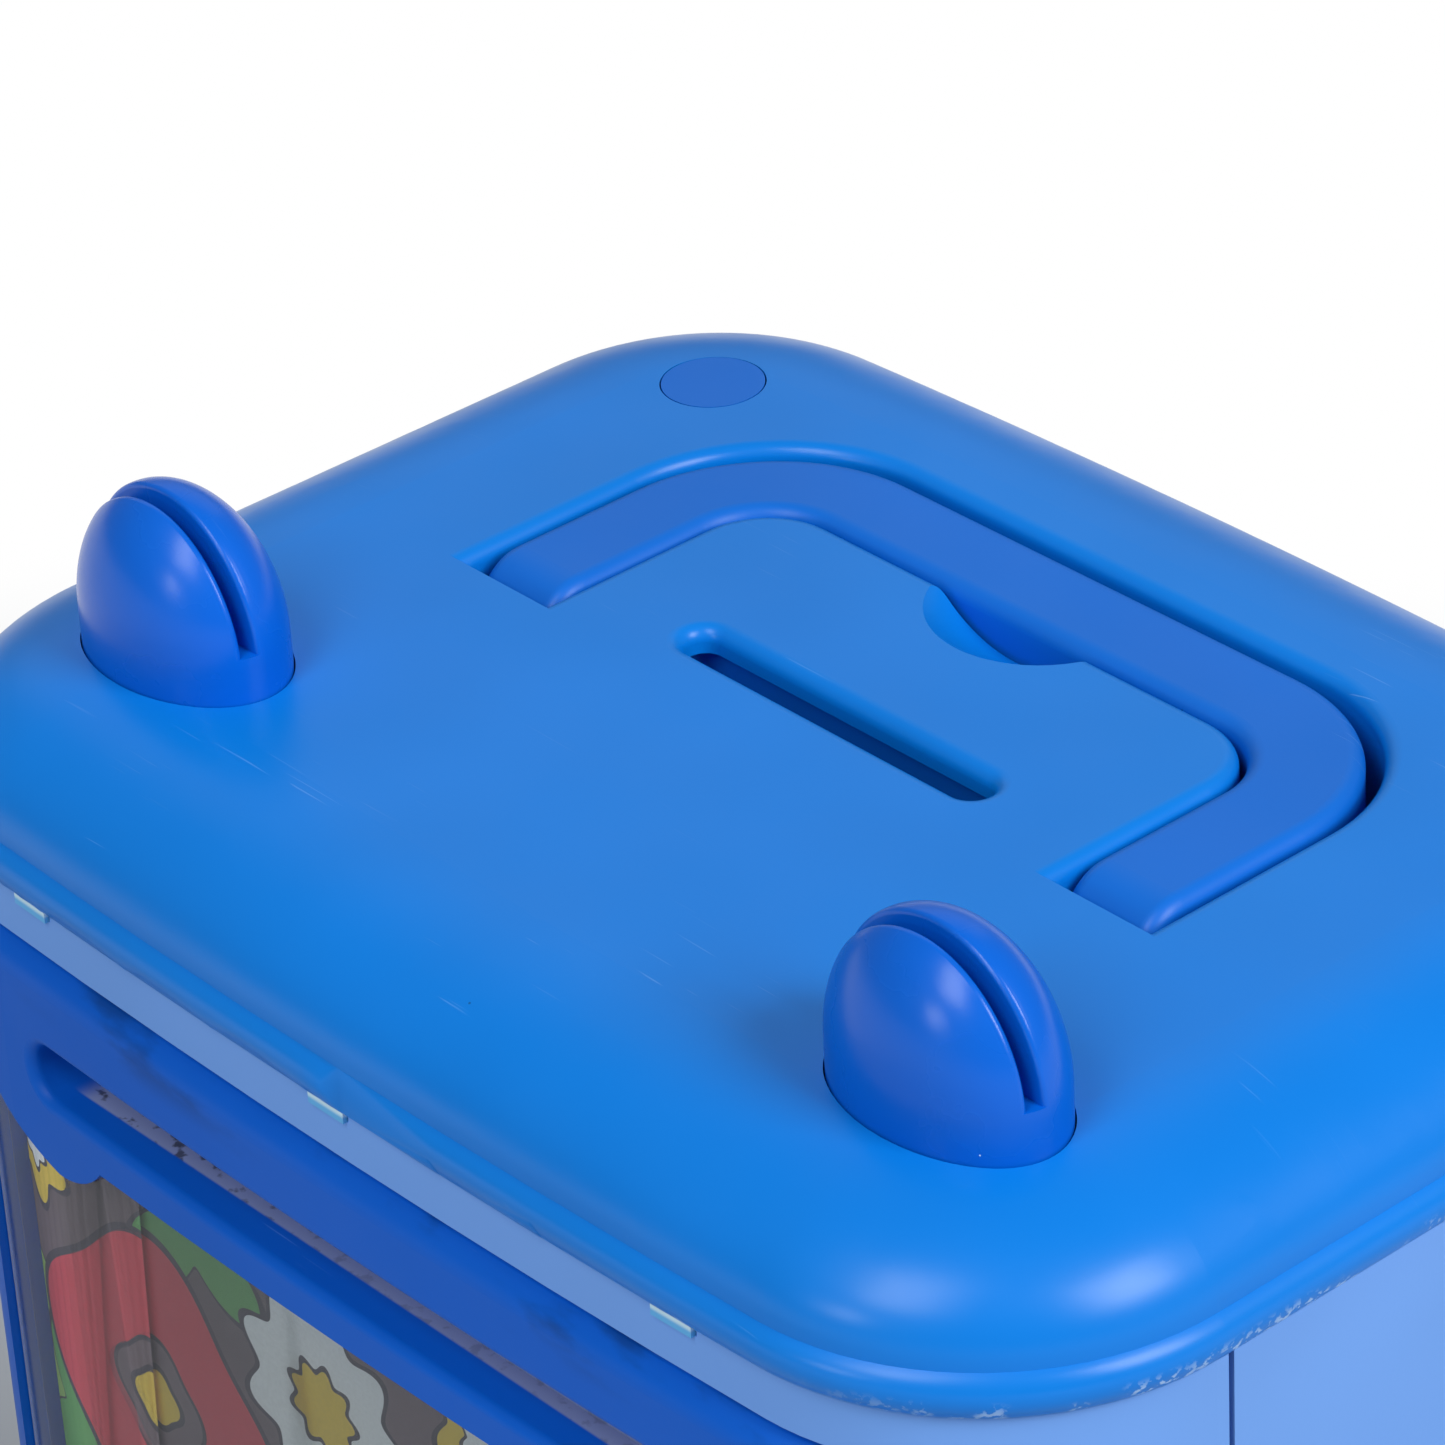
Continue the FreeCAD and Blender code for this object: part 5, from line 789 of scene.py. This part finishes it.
def board_parts(name, places, size, plan_power, finish):
    """One mesh of equal blocks on the board: quads that wrap round the turn, and a cap at each end."""
    block = rounded_block(size, plan_power)
    rows, columns = block.shape[:2]
    stand = BOARD_FACE + size[1] / 2 * MM
    centres = np.array([(x * MM, stand, z * MM) for x, z in places])
    points = (centres[:, None, None, :] + block).reshape(-1, 3)
    index = np.arange(len(points)).reshape(len(places), rows, columns)
    after = np.roll(index, -1, axis=2)
    quads = np.stack([index[:, :-1], index[:, 1:], after[:, 1:], after[:, :-1]], axis=-1).reshape(-1, 4)
    caps = index[:, 0].tolist() + index[:, -1, ::-1].tolist()
    mesh = bpy.data.meshes.new(name)
    mesh.from_pydata(points.tolist(), [], quads.tolist() + caps)
    mesh.materials.append(finish)
    piece = bpy.data.objects.new(name, mesh)
    scene.collection.objects.link(piece)
    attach(piece, "door")
    return piece


chip_epoxy = moulded_abs("moulded_epoxy_black", "#232426", roughness=0.55, coats=())
socket_nylon = moulded_abs("moulded_nylon_white", "#DAD6C8", roughness=0.45, coats=())
leg_row = [(LEG_FIRST + LEG_STEP * step, z) for step in range(8) for z in LEG_ROWS]
board_parts("controller_chip", [(CHIP_X, CHIP_Z)], (14, 1.8, 14), SQUARE, chip_epoxy)
board_parts("chip_legs", leg_row, (0.6, 0.8, 2.2), SQUARE, zinc)
board_parts("driver_chips", [(-10, 72), (-44, 64)], (6, 1.6, 5), SQUARE, chip_epoxy)
board_parts("capacitor_cans", [(-8, 56), (-16, 53)], (6.3, 6.0, 6.3), ROUND, nickel)
board_parts("crystal_can", [(-40, 76)], (10, 3.4, 4.2), OVAL, nickel)
board_parts("plug_sockets", [(-30, 46.5), (-14, 78)], (9, 5, 6), SQUARE, socket_nylon)
resistor_row = [(-20 + 3 * step, 66) for step in range(4)]
board_parts("chip_resistors", resistor_row, (1.6, 0.7, 3.2), SQUARE, chip_epoxy)
print("main board's parts stand", round(BOARD_FACE / MM, 1), "mm from the middle")

# %% [markdown]
# The speaker is a cone of pressed black paper in a steel rim. One finish covers the whole solid, so the
# distance from its axis picks the colour: rim, surround, cone and dust cap.

# %% Speaker
CONE_RINGS = [(16.5, "#1C1D20"), (14.2, "#2B2C2E"), (6.0, "#17181A")]
FIBRE_SIZE = 0.8
cone_finish, tree, spot, shader = new_finish("pressed_paper_cone_and_steel_rim")
hub = centre("speaker")
flat = off_axis(tree, spot, hub.x, hub.z)
away = add(tree, "VectorMath", {0: flat}, out="Value", operation="LENGTH")
fibres = add(tree, "TexNoise", {"Vector": spot, "Scale": per_metre(FIBRE_SIZE), "Detail": 3.0})
tint = add(tree, "Mix", {0: fibres, 6: linear("#7F8489"), 7: linear("#9CA1A6")}, **COLOURS)
for reach, paint in CONE_RINGS:
    inside = add(tree, "Math", {0: away, 1: reach * MM}, **LESS)
    shade = add(tree, "Mix", {0: fibres, 6: linear(paint), 7: linear("#3A3B3D")}, **COLOURS)
    tint = add(tree, "Mix", {0: inside, 6: tint, 7: shade}, **COLOURS)
metal = add(tree, "Math", {0: away, 1: CONE_RINGS[0][0] * MM}, operation="GREATER_THAN")
feed(shader, {"Base Color": tint, "Metallic": metal, "Roughness": 0.6})
dress(cone_finish, "speaker")
print(len(CONE_RINGS), "rings on the cone")

# %% [markdown]
# The cells are steel cans in a glossy printed film: dark, with a copper band at the plus end and bare metal
# at both tips. They lie along X, side by side, and the middle one is turned round, so its band is mirrored.

# %% Batteries
CELLS = 3
FILM_IOR = 1.5
cell_low, cell_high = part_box("battery_cells")
CELL_WIDE = (cell_high.y - cell_low.y) / CELLS
BARE_END = 0.9 * MM
BAND = 13.0 * MM
wrap_finish, tree, spot, shader = new_finish("printed_film_wrapper_on_steel_can")
axes = add(tree, "SeparateXYZ", {0: spot}).node.outputs
off = add(tree, "Math", {0: axes["Y"], 1: (cell_low.y + cell_high.y) / 2}, operation="SUBTRACT")
off = add(tree, "Math", {0: off}, operation="ABSOLUTE")
turned_cell = add(tree, "Math", {0: off, 1: CELL_WIDE / 2}, **LESS)
swap = add(tree, "MapRange", {0: turned_cell, 3: 1.0, 4: -1.0})
along = add(tree, "Math", {0: axes["X"], 1: swap}, **PRODUCT)
band = add(tree, "Math", {0: along, 1: cell_high.x - BAND}, operation="GREATER_THAN")
tint = add(tree, "Mix", {0: band, 6: linear("#26292E"), 7: linear("#B9832C")}, **COLOURS)
reach = add(tree, "Math", {0: axes["X"]}, operation="ABSOLUTE")
bare = add(tree, "Math", {0: reach, 1: cell_high.x - BARE_END}, operation="GREATER_THAN")
tint = add(tree, "Mix", {0: bare, 6: tint, 7: linear("#C9CCCF")}, **COLOURS)
feed(shader, {"Base Color": tint, "Metallic": bare, "Roughness": 0.25, "IOR": FILM_IOR})
dress(wrap_finish, "battery_cells")
print(CELLS, "cells of", round(CELL_WIDE / MM, 1), "mm")
